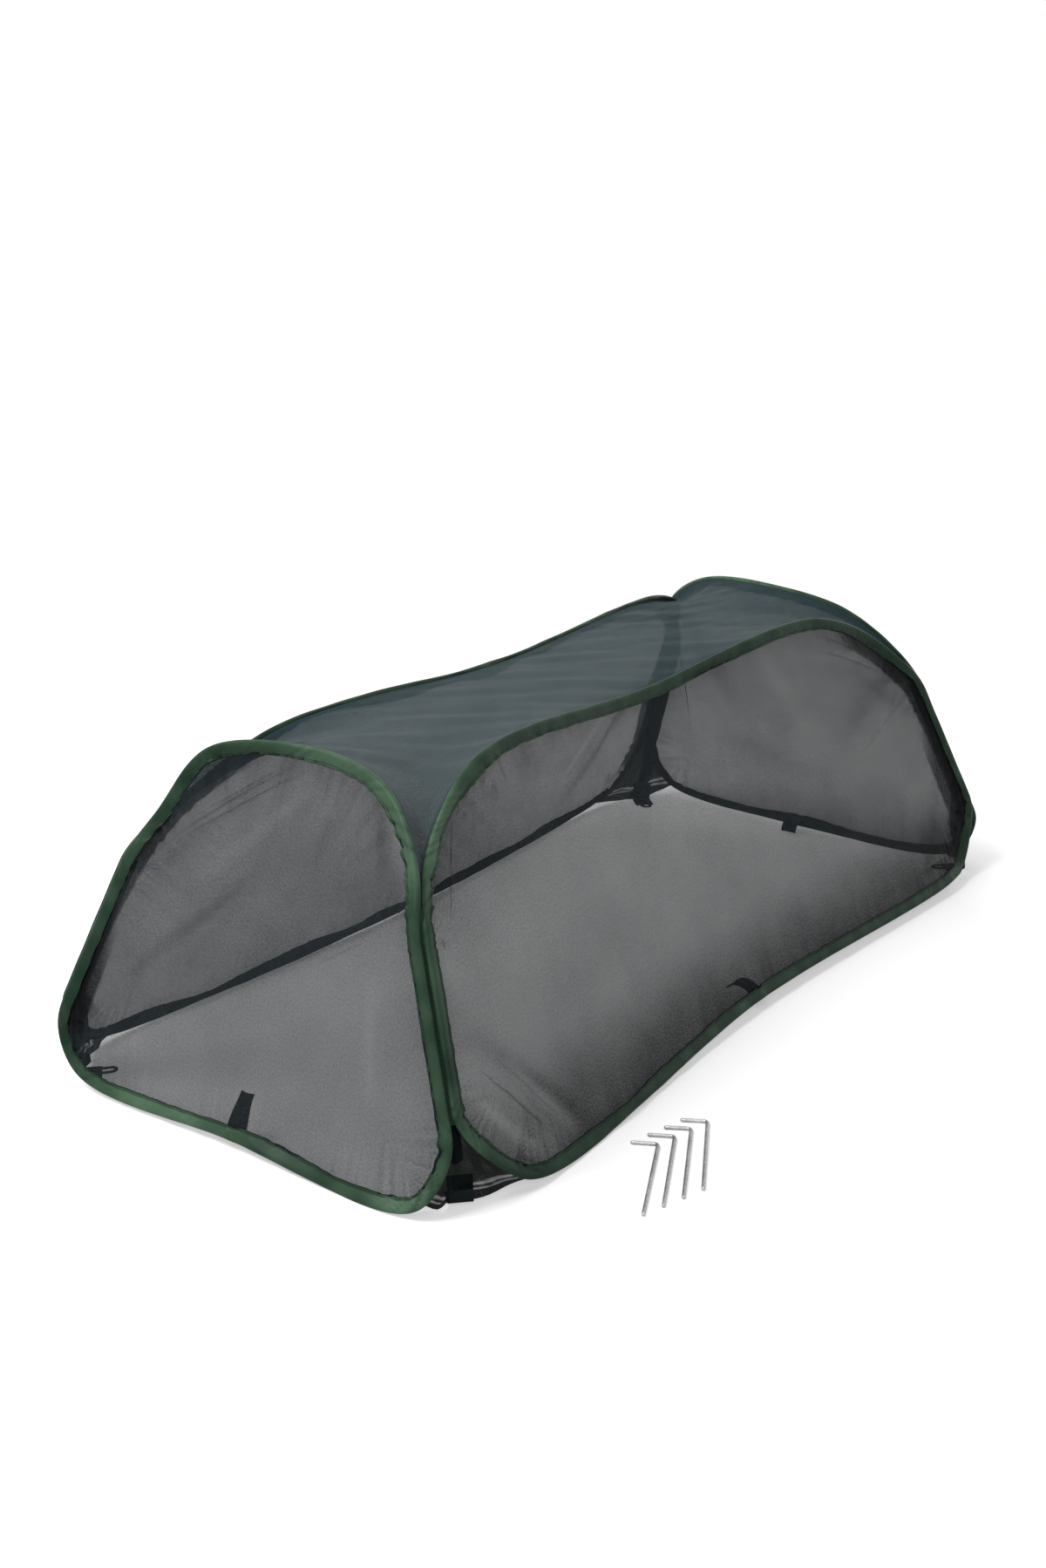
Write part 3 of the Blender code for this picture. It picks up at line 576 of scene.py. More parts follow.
def satin_tape(name, colour, dark):
    """Woven satin tape: fine cross ribs, a soft gloss, patchy painted light and shade, darker cut edges."""
    n = Nodes(name)
    cloth = n.cloth()
    ribs = n.threads(cloth, SATIN_PITCH[0], 0)
    warp = n.threads(cloth, SATIN_PITCH[1], 1)
    patches = n.noise(cloth, 26.0, 4.0)
    fine = n.noise(cloth, 900.0, 2.0)
    # Painted light and shade: the mesh carries how much of the lighter colour shows, and noise patches vary
    # it
    patchy_light = n.math("ADD", n.math("MULTIPLY", patches, 0.75), n.math("MULTIPLY", fine, 0.25))
    painted_light = n.math("MULTIPLY", n.painted("painted_light"), n.spread(patchy_light, 0.32, 0.68, 0.70, 1.25))
    n.surface(
        colour=n.mix(n.painted("edge"), n.mix(painted_light, dark, colour), tuple(c * 0.4 for c in dark)),
        rough=n.spread(patches, 0.3, 0.7, 0.32, 0.44), gloss=0.12, sheen=0.02, sheen_rough=0.4,
        sheen_tint=(0.55, 0.85, 0.6), sideways=0.35,
    )
    n.bump(n.math("ADD", n.math("MULTIPLY", ribs, warp), n.math("MULTIPLY", fine, 0.6)), 0.00012, 0.5)
    return n.material


def net_cloth(name, colour, cover, gloss=0.05):
    """Fine woven net: threads with open gaps, denser and darker where it lies double and where shade is
    painted.
    """
    n = Nodes(name)
    cloth = n.cloth()
    weave = n.math("MAXIMUM", n.threads(cloth, NET_PITCH, 0), n.threads(cloth, NET_PITCH, 1))
    clouds = n.noise(cloth, 9.0, 5.0, 0.6)
    slubs = n.noise(cloth, 430.0, 2.0, 0.6)
    # Density, which also carries painted shade: the net turns darker where it is high
    doubling_and_shade = n.painted("doubling_and_shade")
    cover = n.spread(weave, 0.3, 1.0, cover - 0.07, cover + 0.03)
    cover = n.math("ADD", cover, n.spread(clouds, 0.35, 0.65, -0.025, 0.025))
    cover = n.math("ADD", cover, n.spread(slubs, 0.3, 0.7, -0.055, 0.055))
    cover = n.math("ADD", cover, doubling_and_shade)
    cover = n.math("MINIMUM", n.math("MAXIMUM", cover, 0.0), 0.985)
    pale = tuple(min(1.0, c * 1.35) for c in colour)
    dense_and_shaded = tuple(c * 0.2 for c in colour)
    n.surface(
        colour=n.mix(n.spread(doubling_and_shade, 0.02, 0.26, 0.0, 1.0), n.mix(weave, colour, pale), dense_and_shaded),
        alpha=cover, rough=0.62, gloss=gloss, sheen=0.02, sheen_rough=0.5,
    )
    n.bump(weave, 0.0001, 0.4)
    return n.material


def webbing_cloth(name, colour):
    """Woven webbing: two crossing rows of ribs that stand up from the surface."""
    n = Nodes(name)
    cloth = n.cloth()
    ribs = n.threads(cloth, WEBBING_PITCH[0], 0)
    warp = n.threads(cloth, WEBBING_PITCH[1], 1)
    fuzz = n.noise(cloth, 1500.0, 3.0)
    height = n.math("ADD", n.math("MULTIPLY", ribs, warp), n.math("MULTIPLY", fuzz, 0.5))
    pale = tuple(c * 2.6 for c in colour)
    n.surface(
        colour=n.mix(n.spread(height, 0.2, 1.1, 0.0, 1.0), colour, pale), rough=0.72, gloss=0.16,
        sheen=0.04, sheen_rough=0.5,
    )
    n.bump(height, 0.0003, 0.7)
    return n.material


def galvanised(name):
    """Zinc coated steel: a dull grey with lighter spangles, stains and fine pits."""
    n = Nodes(name)
    place = n.place()
    spangle = n.noise(place, 260.0, 2.0)
    stain = n.noise(place, 45.0, 5.0, 0.65)
    mixed = n.math("ADD", n.math("MULTIPLY", spangle, 0.5), n.math("MULTIPLY", stain, 0.5))
    n.surface(
        colour=n.mix(n.spread(mixed, 0.35, 0.65, 0.0, 1.0), (0.33, 0.335, 0.34), (0.62, 0.63, 0.64)),
        rough=n.spread(stain, 0.3, 0.7, 0.32, 0.5), metal=0.85,
    )
    n.bump(n.noise(place, 700.0, 4.0), 0.0002, 0.35)
    return n.material


def plain_metal(name, colour, rough):
    """Bare wire with faint stains."""
    n = Nodes(name)
    stain = n.noise(n.place(), 120.0, 4.0)
    n.surface(
        colour=n.mix(stain, tuple(c * 0.75 for c in colour), colour),
        rough=n.spread(stain, 0.3, 0.7, rough - 0.06, rough + 0.06), metal=1.0,
    )
    return n.material


# The tape's lighter and darker colours, between which its painted light and shade run
SATIN = satin_tape("green_satin_tape", (0.095, 0.175, 0.105), (0.008, 0.027, 0.014))
NET = net_cloth("fine_net", (0.013, 0.017, 0.020), 0.72)
# Lighter and bluer than the side nets: the sky's reflection on the roof is painted into its colour
TOP_NET = net_cloth("top_net", (0.021, 0.036, 0.040), 0.90)
# Near black and fully dense: the corner net's layers, with the corner's shade painted into its colour
GUSSET_NET = net_cloth("gusset_net", (0.002, 0.004, 0.004), 1.0, 0.03)
WEBBING = webbing_cloth("black_webbing", (0.0035, 0.0060, 0.0060))
THREAD = webbing_cloth("sewing_thread", (0.006, 0.018, 0.009))
ZINC = galvanised("galvanised_steel")
SPRING = plain_metal("spring_steel", (0.35, 0.35, 0.36), 0.4)


# Sleeves

# Half of the folded tape's section in millimetres, from its lip to the fold: how far in from the
# wire, and how far out of the panel
SECTION = [
    (12.1, 0.95), (11.2, 0.90), (10.4, 0.62), (9.5, 0.60), (8.6, 0.95), (7.0, 1.50), (5.2, 2.10),
    (3.4, 2.60), (1.7, 2.88), (0.0, 2.90), (-1.6, 2.35), (-2.6, 1.30), (-2.9, 0.0),
]


def section_points():
    """The folded tape's middle line in metres: one lip, round the wire, the other lip."""
    upper = np.array(SECTION)
    lower = upper[-2::-1] * (1, -1)
    return np.vstack([upper, lower]) / 1000


def end_seam(along, length):
    """One where the tape's two ends lap over each other, in the middle of the lower run."""
    distance = np.minimum(along, length - along)
    return (distance < LAP_HALF).astype(float)


def make_sleeve(hoop):
    """Folded tape sewn round the wire, puckered by its stitches."""
    section = section_points()
    count = len(section)
    travel = travelled(section)
    lap = end_seam(hoop.along, hoop.length)
    crush = CRUSH * hoop.waves(hoop.seed + 20, CRUSH_WAVE)
    waver = EDGE_WAVER * hoop.waves(hoop.seed + 40, EDGE_WAVE)
    rows = np.empty((len(hoop.wire), count, 3))
    uvs = np.empty((len(hoop.wire), count, 2))
    for i, (s, t) in enumerate(section):
        share = max(s, 0.0) / SLEEVE_IN
        crease = CREASE_HEIGHT * share * (1 - share) * 4 * hoop.waves(hoop.seed + 31 + i % 5, CREASE_WAVE)
        crease = crease * (0.6 + np.clip(hoop.bend / 5, 0, 2))
        height = t * (1 + crush * (share < 0.75)) + np.sign(t) * (lap * LAP_RISE + crease)
        inwards = s * (1 - LAP_DRAWN_IN * lap * (s > LIP_IN)) + share * waver
        rows[:, i] = hoop.wire + hoop.inward * inwards[:, None]
        rows[:, i] += hoop.outward * (height + hoop.rise(s))[:, None]
        uvs[:, i] = np.stack([hoop.along, np.full(len(hoop.along), travel[i])], axis=1)
    edge = np.zeros((len(hoop.wire), 2 * count))
    edge[:, [0, count - 1, count, 2 * count - 1]] = 0.8
    # Painted light and shade of the satin, carried on the mesh
    painted_light = painted_satin_light(hoop, section[:, 0])
    painted = {"edge": edge.ravel(), "painted_light": np.hstack([painted_light, painted_light[:, ::-1]]).ravel()}
    return thick_sheet(
        "sleeve_" + hoop.name, hoop.world(rows), TAPE_THICKNESS, SATIN, uvs,
        closed_rows=True, attributes=painted,
    )


def painted_satin_light(hoop, inwards):
    """Painted light on the satin, with painted shade in strokes where the tape is gathered and on its lips.
    """
    base, places = PAINTED_SATIN_LIGHT[hoop.name]
    level = base + 0.09 * hoop.waves(hoop.seed + 70, 0.045)
    for u, v, reach, amount in places:
        level = level + amount * np.exp(-(hoop.distance_to(u, v) / reach) ** 2)
    depth = np.clip(0.25 * hoop.scrunch, 0, 0.85)
    columns = []
    for s in inwards:
        # strokes of painted shade in the gathers, and painted shade on the lips
        shade_stroke = np.clip(hoop.waves(hoop.seed + 80, 0.010, 1.4 * s) - 0.15, 0, 1)
        lip = LIP_PAINTED_SHADE if s > LIP_IN else 1.0
        columns.append(level * (1 - depth * shade_stroke) * lip)
    return np.clip(np.stack(columns, axis=1), 0, 1)


def stitch_tree(thread, pitch, length):
    """Geometry Nodes: thread stitches along a line, one every pitch."""
    tree = bpy.data.node_groups.new("stitch_row", "GeometryNodeTree")
    tree.interface.new_socket("Geometry", in_out="INPUT", socket_type="NodeSocketGeometry")
    gap = tree.interface.new_socket("Pitch", in_out="INPUT", socket_type="NodeSocketFloat")
    size = tree.interface.new_socket("Stitch length", in_out="INPUT", socket_type="NodeSocketFloat")
    tree.interface.new_socket("Geometry", in_out="OUTPUT", socket_type="NodeSocketGeometry")
    add, link = tree.nodes.new, tree.links.new
    start, end = add("NodeGroupInput"), add("NodeGroupOutput")
    points = add("GeometryNodeCurveToPoints")
    points.mode = "LENGTH"
    bead = add("GeometryNodeMeshUVSphere")
    for key, number in (("Segments", 6), ("Rings", 4), ("Radius", 0.5)):
        bead.inputs[key].default_value = number
    scale = add("ShaderNodeCombineXYZ")
    for index in (0, 1):
        scale.inputs[index].default_value = 2 * THREAD_R
    place = add("GeometryNodeInstanceOnPoints")
    real = add("GeometryNodeRealizeInstances")
    paint = add("GeometryNodeSetMaterial")
    paint.inputs["Material"].default_value = thread
    shade = add("GeometryNodeSetShadeSmooth")
    link(start.outputs["Geometry"], points.inputs["Curve"])
    link(start.outputs["Pitch"], points.inputs["Length"])
    link(start.outputs["Stitch length"], scale.inputs[2])
    link(points.outputs["Points"], place.inputs["Points"])
    link(points.outputs["Rotation"], place.inputs["Rotation"])
    link(bead.outputs["Mesh"], place.inputs["Instance"])
    link(scale.outputs[0], place.inputs["Scale"])
    link(place.outputs["Instances"], real.inputs["Geometry"])
    link(real.outputs["Geometry"], shade.inputs["Geometry"])
    link(shade.outputs["Geometry"], paint.inputs["Geometry"])
    link(paint.outputs["Geometry"], end.inputs["Geometry"])
    return tree, {gap.identifier: pitch, size.identifier: length}


STITCH_TREE, STITCH_INPUTS = stitch_tree(THREAD, STITCH_PITCH, STITCH_LENGTH)


def stitched(name, lines):
    """Rows of stitches along lines of points, as one mesh. Each line is (points, closed)."""
    curve = bpy.data.curves.new(name + "_line", "CURVE")
    curve.dimensions = "3D"
    for points, closed in lines:
        spline = curve.splines.new("POLY")
        spline.points.add(len(points) - 1)
        spline.points.foreach_set("co", np.hstack([points, np.ones((len(points), 1))]).ravel())
        spline.use_cyclic_u = closed
    ob = bpy.data.objects.new(name + "_line", curve)
    bpy.context.scene.collection.objects.link(ob)
    modifier = ob.modifiers.new("Stitches", "NODES")
    modifier.node_group = STITCH_TREE
    for key, value in STITCH_INPUTS.items():
        modifier[key] = value
    bpy.context.view_layer.update()
    graph = bpy.context.evaluated_depsgraph_get()
    mesh = bpy.data.meshes.new_from_object(ob.evaluated_get(graph))
    bpy.data.objects.remove(ob, do_unlink=True)
    mesh.name = name
    result = bpy.data.objects.new(name, mesh)
    bpy.context.scene.collection.objects.link(result)
    return result


def make_ferrule(hoop):
    """Crimped tube over the two ends of the wire, in the middle of the lower run."""
    steps = np.linspace(-0.5, 0.5, 25)
    path = hoop.wire[0] + hoop.tangent[0] * (steps * FERRULE_LENGTH)[:, None]
    crimps = CRIMP_DEPTH * np.exp(-((np.abs(steps) - 0.28) / 0.05) ** 2)
    return tube("crimped_ferrule_" + hoop.name, hoop.world(path), FERRULE_R - crimps, 16, ZINC)


def make_stitches(hoop):
    """The seam that holds the net between the tape's two layers, seen on both faces."""
    lines = []
    for side in (1, -1):
        height = side * (LIP_HEIGHT + TAPE_THICKNESS / 2 + 0.0001)
        lines.append((hoop.world(hoop.offset(STITCH_IN) + hoop.outward * height), True))
    return stitched("sleeve_stitches_" + hoop.name, lines)


# Nets

# Pinched folds in a panel's (u, v): from, to, half width in millimetres, and how dark they are
FOLDS = {
    "left": [
        ((0.022, 0.384), (0.150, 0.280), 3.4, 0.50), ((0.006, 0.382), (0.134, 0.286), 3.0, 0.46),
        ((0.034, 0.380), (0.112, 0.318), 3.0, 0.50), ((-0.135, 0.262), (-0.010, 0.178), 3.4, 0.34),
        ((0.060, 0.386), (0.160, 0.300), 2.6, 0.30), ((-0.128, 0.240), (-0.060, 0.200), 2.6, 0.26),
    ],
    "front": [
        ((-0.434, 0.360), (-0.500, 0.262), 2.0, 0.80), ((-0.530, 0.132), (-0.446, 0.022), 4.4, 0.50),
        ((-0.500, 0.128), (-0.420, 0.024), 3.6, 0.34), ((0.350, 0.384), (0.505, 0.296), 3.2, 0.66),
        ((0.336, 0.366), (0.480, 0.300), 3.0, 0.42), ((0.566, 0.140), (0.454, 0.020), 3.0, 0.66),
        ((0.560, 0.104), (0.492, 0.022), 3.0, 0.56),
    ],
    "back": [((0.470, 0.250), (0.416, 0.076), 3.4, 0.50), ((0.440, 0.230), (0.380, 0.072), 3.0, 0.30)],
    "right": [((0.150, 0.330), (0.095, 0.230), 3.0, 0.30), ((-0.180, 0.250), (-0.110, 0.150), 3.0, 0.26)],
}

# Painted shade and light of soft folds, made by drawing the net denser or looser: from, to, half width
# in millimetres, and how much denser
SHADES = {
    "left": [
        ((0.030, 0.380), (0.140, 0.270), 9.0, 0.05), ((-0.122, 0.372), (-0.160, 0.300), 10.0, -0.17),
        ((-0.105, 0.372), (-0.130, 0.300), 6.0, 0.05), ((-0.010, 0.370), (0.095, 0.260), 8.0, -0.06),
        ((0.180, 0.300), (0.215, 0.160), 10.0, -0.06), ((-0.120, 0.250), (0.020, 0.165), 9.0, 0.06),
        ((-0.060, 0.380), (-0.030, 0.290), 10.0, 0.05), ((-0.145, 0.210), (-0.165, 0.100), 8.0, -0.05),
    ],
    "front": [
        ((-0.520, 0.160), (-0.400, 0.036), 12.0, 0.08), ((-0.548, 0.110), (-0.480, 0.026), 8.0, -0.08),
        ((-0.485, 0.120), (-0.420, 0.030), 7.0, -0.08), ((0.400, 0.314), (0.520, 0.236), 12.0, 0.07),
        ((0.535, 0.160), (0.425, 0.050), 12.0, 0.06), ((0.300, 0.370), (0.440, 0.330), 9.0, -0.06),
        ((-0.120, 0.340), (0.060, 0.250), 16.0, -0.04), ((0.080, 0.330), (0.260, 0.220), 16.0, 0.04),
    ],
    "back": [
        ((0.480, 0.220), (0.390, 0.060), 12.0, 0.10), ((-0.480, 0.090), (-0.320, 0.176), 14.0, 0.07),
        ((0.420, 0.240), (0.360, 0.090), 9.0, -0.07), ((-0.200, 0.300), (0.020, 0.180), 18.0, -0.05),
        ((0.100, 0.320), (0.240, 0.140), 16.0, 0.05),
    ],
    "right": [
        ((0.160, 0.330), (0.100, 0.200), 12.0, 0.08), ((-0.175, 0.310), (-0.080, 0.170), 14.0, 0.08),
        ((0.060, 0.350), (-0.020, 0.180), 14.0, -0.05),
    ],
}

# Sides of a panel, by the sign of u, where its net is caught double along the corner seam
DOUBLED = {"front": (1,), "back": (-1, 1), "left": (1,), "right": (-1,)}
DOUBLED_WIDTH = 0.022
DOUBLED_DENSITY = 0.22

FOOT_SHADE = 0.185          # painted shadow: how much denser and darker the front net is made towards its foot
LEFT_SHADE = 0.06           # and towards its upper left corner, for the ground along the back panel
CLEAR = 0.85                # density taken off where a fold's edge leaves the net as it is


def fold_strips(name, on_net):
    """Slivers of net that lie double on a panel's net, as rows of (u, v, w), and how dense they are."""
    pieces = []
    across = np.linspace(-1, 1, 9)
    s = np.linspace(0, 1, 40)
    taper = np.clip(np.sin(math.pi * np.clip(s * 0.9 + 0.1, 0, 1)), 0, 1)[:, None] ** 0.7
    for start, end, half_width, strength in FOLDS[name]:
        start, end = np.array(start), np.array(end)
        length = np.linalg.norm(end - start)
        along = (end - start) / length
        beside = np.array((-along[1], along[0]))
        bow = length * (0.010 * np.sin(math.pi * s) + 0.004 * np.sin(2.6 * math.pi * s))
        centre = start + (end - start) * s[:, None] + beside * bow[:, None]
        reach = across * half_width / 1000 * (0.4 + 0.6 * taper)
        place = centre[:, None] + beside * reach[..., None]
        lift = 0.0005 + 0.0010 * (1 - across ** 2) * taper
        w = on_net(place[..., 0], place[..., 1]) + lift
        dense = (0.13 + strength) * np.exp(-(across / 0.42) ** 2) * taper - CLEAR
        pieces.append((np.dstack([place, w]), dense))
    return pieces


def nearest_rim(rim, uu, vv):
    """For each place of a net, the number of the rim's nearest point and the distance to it."""
    tree = kdtree.KDTree(len(rim))
    for i, (u, v, _) in enumerate(rim):
        tree.insert((u, v, 0.0), i)
    tree.balance()
    found = [tree.find((a, b, 0.0))[1:] for a, b in zip(uu.ravel(), vv.ravel())]
    return [np.array(values).reshape(uu.shape) for values in zip(*found)]


def net_density(hoop, uu, vv, reach, gathers):
    """How much denser a net looks: at its rim, gathers and seams, with painted shade in soft folds."""
    density = RIM_DENSITY * np.exp(-reach / RIM_DENSITY_REACH) + 0.06 * np.clip(gathers, 0, 1)
    for side in DOUBLED[hoop.name]:
        at_seam = smooth_step((vv - 0.035) / 0.05) * smooth_step((uu * side / hoop.half - 0.62) / 0.10)
        density += DOUBLED_DENSITY * at_seam * (1 - smooth_step((reach - DOUBLED_WIDTH) / 0.003))
    # Painted shade and light of the soft folds
    for start, end, half_width, amount in SHADES[hoop.name]:
        start, end = np.array(start), np.array(end)
        way = end - start
        share = np.clip(((uu - start[0]) * way[0] + (vv - start[1]) * way[1]) / (way @ way), 0, 1)
        gap = np.hypot(uu - start[0] - share * way[0], vv - start[1] - share * way[1])
        taper = np.sin(math.pi * (0.12 + 0.76 * share))
        density += amount * np.exp(-(gap / (half_width / 1000)) ** 2) * taper
    # Painted shadow of the ground inside the cover, seen through the front net
    if hoop.name == "front":
        low, far_left = smooth_step((0.14 - vv) / 0.095), smooth_step((-0.38 - uu) / 0.1)
        density += FOOT_SHADE * low * (1 - 0.35 * far_left)
        density += LEFT_SHADE * np.exp(-((uu + 0.50) / 0.16) ** 2) * smooth_step((vv - 0.22) / 0.10)
    return density


def make_net(hoop):
    """A panel's net: columns from the lower to the upper run, drawn in where the tape puckers."""
    rim = hoop.offset(NET_IN)
    u_rim, v_rim, w_rim = rim.T
    right, left = int(np.argmax(u_rim)), int(np.argmin(u_rim))
    lower = np.arange(left - len(rim), right + 1) % len(rim)
    upper = np.arange(right, left + 1)[::-1]
    lowest, highest = u_rim[left], u_rim[right]
    angle = np.linspace(-math.pi / 2, math.pi / 2, NET_COLUMNS + 2)[1:-1]
    u = (lowest + highest) / 2 + (highest - lowest) / 2 * np.sin(angle)
    base = [np.interp(u, u_rim[lower], values[lower]) for values in (v_rim, w_rim)]
    crown = [np.interp(u, u_rim[upper], values[upper]) for values in (v_rim, w_rim)]
    t = 0.6 * eased(NET_ROWS) + 0.4 * np.linspace(0, 1, NET_ROWS)
    uu = np.broadcast_to(u, (NET_ROWS, NET_COLUMNS))
    vv = base[0] + (crown[0] - base[0]) * t[:, None]
    belly = NET_BELLY * (4 * t * (1 - t))[:, None] * (1 - (u / highest) ** 2)
    ww = base[1] + (crown[1] - base[1]) * t[:, None] + belly
    nearest, reach = nearest_rim(rim, uu, vv)
    strength = np.clip(0.35 + hoop.bend / 5, 0, 2.0)[nearest]
    gather = strength * hoop.waves(hoop.seed + 50, GATHER_WAVE)[nearest] * np.exp(-reach / RIM_REACH)
    ww = ww + GATHER_HEIGHT * gather * smooth_step((reach - 0.004) / 0.02)
    billow = ripple(hoop.seed + 60, uu / BILLOW_WAVE, vv / BILLOW_WAVE)
    ww = ww + BILLOW_HEIGHT * billow * smooth_step(reach / 0.06)

    def on_net(u_asked, v_asked):
        """The net's depth there."""
        low, high = (np.interp(u_asked, u, line[0]) for line in (base, crown))
        row = np.interp(np.clip((v_asked - low) / (high - low), 0, 1), t, np.arange(NET_ROWS))
        column = np.interp(u_asked, u, np.arange(NET_COLUMNS))
        j, i = (np.minimum(x.astype(int), n - 2) for x, n in ((row, NET_ROWS), (column, NET_COLUMNS)))
        a, b = row - j, column - i
        near, far = (ww[j + k, i] * (1 - b) + ww[j + k, i + 1] * b for k in (0, 1))
        return near * (1 - a) + far * a

    points = [np.stack([uu, vv, ww], axis=-1).reshape(-1, 3)]
    faces = grid_faces(NET_ROWS, NET_COLUMNS)
    density = [net_density(hoop, uu, vv, reach, np.abs(gather)).ravel()]
    total = uu.size
    for rows, dense in fold_strips(hoop.name, on_net):
        low, high = (np.interp(rows[..., 0], u, line[0]) for line in (base, crown))
        room = np.minimum.reduce([
            rows[..., 1] - low, high - rows[..., 1], rows[..., 0] - lowest, highest - rows[..., 0],
        ])
        dense = dense - 1.2 * (1 - smooth_step(room / 0.004))
        faces += [tuple(total + k for k in face) for face in grid_faces(*rows.shape[:2])]
        points.append(rows.reshape(-1, 3))
        density.append(dense.ravel())
        total += dense.size
    points = np.vstack(points)
    ob = mesh_object(
        "net_" + hoop.name, hoop.world(points), faces, NET, points[:, :2],
        {"doubling_and_shade": np.concatenate(density)},
    )
    flat = (float(highest - lowest), float(v_rim.max() - v_rim.min()))
    area = float(0.5 * abs(np.sum(u_rim * np.roll(v_rim, -1) - np.roll(u_rim, -1) * v_rim)))
    return ob, flat, area


def eased(count):
    """Shares from 0 to 1 that lie closer together towards both ends."""
    return 0.5 - 0.5 * np.cos(np.linspace(0, math.pi, count))


def upper_run(hoop):
    """The hoop's upper run just inside the tape's fold, from its lower to its higher u."""
    start = seam_point(hoop.half, hoop.lean, hoop.other_lean, SEAM_HIGH_Z)
    chosen = np.where(hoop.wire[:, 1] > start[1] + 0.012)[0]
    run = hoop.world(hoop.wire[chosen[::-1]]) - hoop.out * (FOLD_R + 0.0006)
    return run[np.argsort(run @ hoop.axes[0])]


def by_progress(run, axis, shares):
    """Points of a run at the given shares of its way along one axis."""
    way = (run[:, axis] - run[0, axis]) / (run[-1, axis] - run[0, axis])
    return spaced(run, way, shares)


def settle(height, s, t):
    """Brings heights over a grid to rest like a taut net's, with its rim held. Changes them in place."""
    gap_s, gap_t = np.diff(s), np.diff(t)
    side_s = 1 / (gap_s[:-1] + gap_s[1:])
    side_t = (LENGTH / WIDTH) ** 2 / (gap_t[:-1] + gap_t[1:])
    west, east = side_s / gap_s[:-1], side_s / gap_s[1:]
    south, north = (side_t / gap_t[:-1])[:, None], (side_t / gap_t[1:])[:, None]
    total = west + east + south + north
    for _ in range(SETTLE_ROUNDS):
        height[1:-1, 1:-1] = (
            height[1:-1, :-2] * west + height[1:-1, 2:] * east
            + height[:-2, 1:-1] * south + height[2:, 1:-1] * north
        ) / total


def make_top_net(hoops):
    """The roof: stretched between the four upper runs, with faint ripples that die out at its rim."""
    s, t = eased(TOP_COLUMNS), eased(TOP_ROWS)
    front, back = (by_progress(upper_run(hoops[name]), 0, s) for name in ("front", "back"))
    left, right = (by_progress(upper_run(hoops[name]), 1, t) for name in ("left", "right"))
    near = (front[0] + left[0]) / 2, (front[-1] + right[0]) / 2
    far = (back[0] + left[-1]) / 2, (back[-1] + right[-1]) / 2
    ss, tt = s[None, :, None], t[:, None, None]
    flat = (near[0] * (1 - ss) + near[1] * ss) * (1 - tt) + (far[0] * (1 - ss) + far[1] * ss) * tt
    rows = front * (1 - tt) + back * tt + left[:, None] * (1 - ss) + right[:, None] * ss - flat
    rows[0], rows[-1], rows[:, 0], rows[:, -1] = front, back, left, right
    x, y, height = rows[:, :, 0], rows[:, :, 1], rows[:, :, 2]
    settle(height, s, t)
    to_end, to_side = np.minimum(s, 1 - s)[None, :], np.minimum(t, 1 - t)[:, None]
    edge = np.minimum(to_side * TOP_SPAN[1], to_end * TOP_SPAN[0])
    inside = smooth_step(edge / 0.03)
    # Slanting waves all over, creases that fan out of the far right corner, puckers at each corner
    height += 0.0010 * inside * ripple(71, (x + y) / 0.05, (y - x) / 0.30)
    far_right = np.exp(-np.hypot((x - far[1][0]) / 0.22, (y - far[1][1]) / 0.14))
    height += 0.0024 * inside * far_right * ripple(72, (x * 0.5 + y) / 0.020, (x - y * 0.5) / 0.12)
    to_corner = np.minimum.reduce([np.hypot(x - p[0], y - p[1]) for p in (*near, *far)])
    height += 0.0030 * inside * np.exp(-to_corner / 0.09) * ripple(73, x / 0.03, y / 0.03)
    density = RIM_DENSITY * np.exp(-edge / RIM_DENSITY_REACH)
    ob = mesh_object(
        "net_top", rows.reshape(-1, 3), grid_faces(TOP_ROWS, TOP_COLUMNS), TOP_NET,
        rows[..., :2].reshape(-1, 2), {"doubling_and_shade": density.ravel()},
    )
    size = np.ptp(rows.reshape(-1, 3), axis=0)
    cells = np.cross(np.diff(rows, axis=1)[:-1], np.diff(rows, axis=0)[:, :-1])
    area = float(np.linalg.norm(cells, axis=-1).sum())
    return ob, (float(size[0]), float(size[1]) * TOP_SLACK), area


# Corners

# Each corner's long and end hoop, the sign of u there on each, and a seed for its folds
CORNERS = {
    "near_left": ("front", "left", -1, -1, 81),
    "near_right": ("front", "right", 1, -1, 83),
    "far_left": ("back", "left", -1, 1, 85),
    "far_right": ("back", "right", 1, 1, 87),
}

# From a corner to where its wire comes down to the ground, on a long panel and on an end panel
LONG_CORNER = 0.125
END_CORNER = 0.070

GUSSET_ROWS = 34
GUSSET_COLUMNS = 25
GUSSET_OVERLAP = 3          # columns of net that a half goes past the fold at a far corner
GUSSET_LAP_GAP = 0.0010
GUSSET_FLEX = 0.05          # from its middle to a point on either side, across the corner
GUSSET_LOW_Z = 0.0022
GUSSET_CLEAR = (0.80, 0.89)     # shares of the way down where a fold shows the ground

WEB_ROWS = 36
WEB_COLUMNS = 9
WEB_LOW_Z = 0.040
WEB_PAST_SEAM = 0.006       # how far it goes on above the seam
WEB_HALF = 0.009            # from its fold to an edge, across the corner
WEB_OVERLAP = 0.005         # how far a half goes past the fold at a far corner
WEB_LAP_GAP = 0.0008
WEB_FLEX = 0.008            # from its fold to a point on either side
WEB_SLOPE = 0.95            # of its two sides, into the corner
WEB_BEHIND = 0.0048         # from the seam's line to its fold


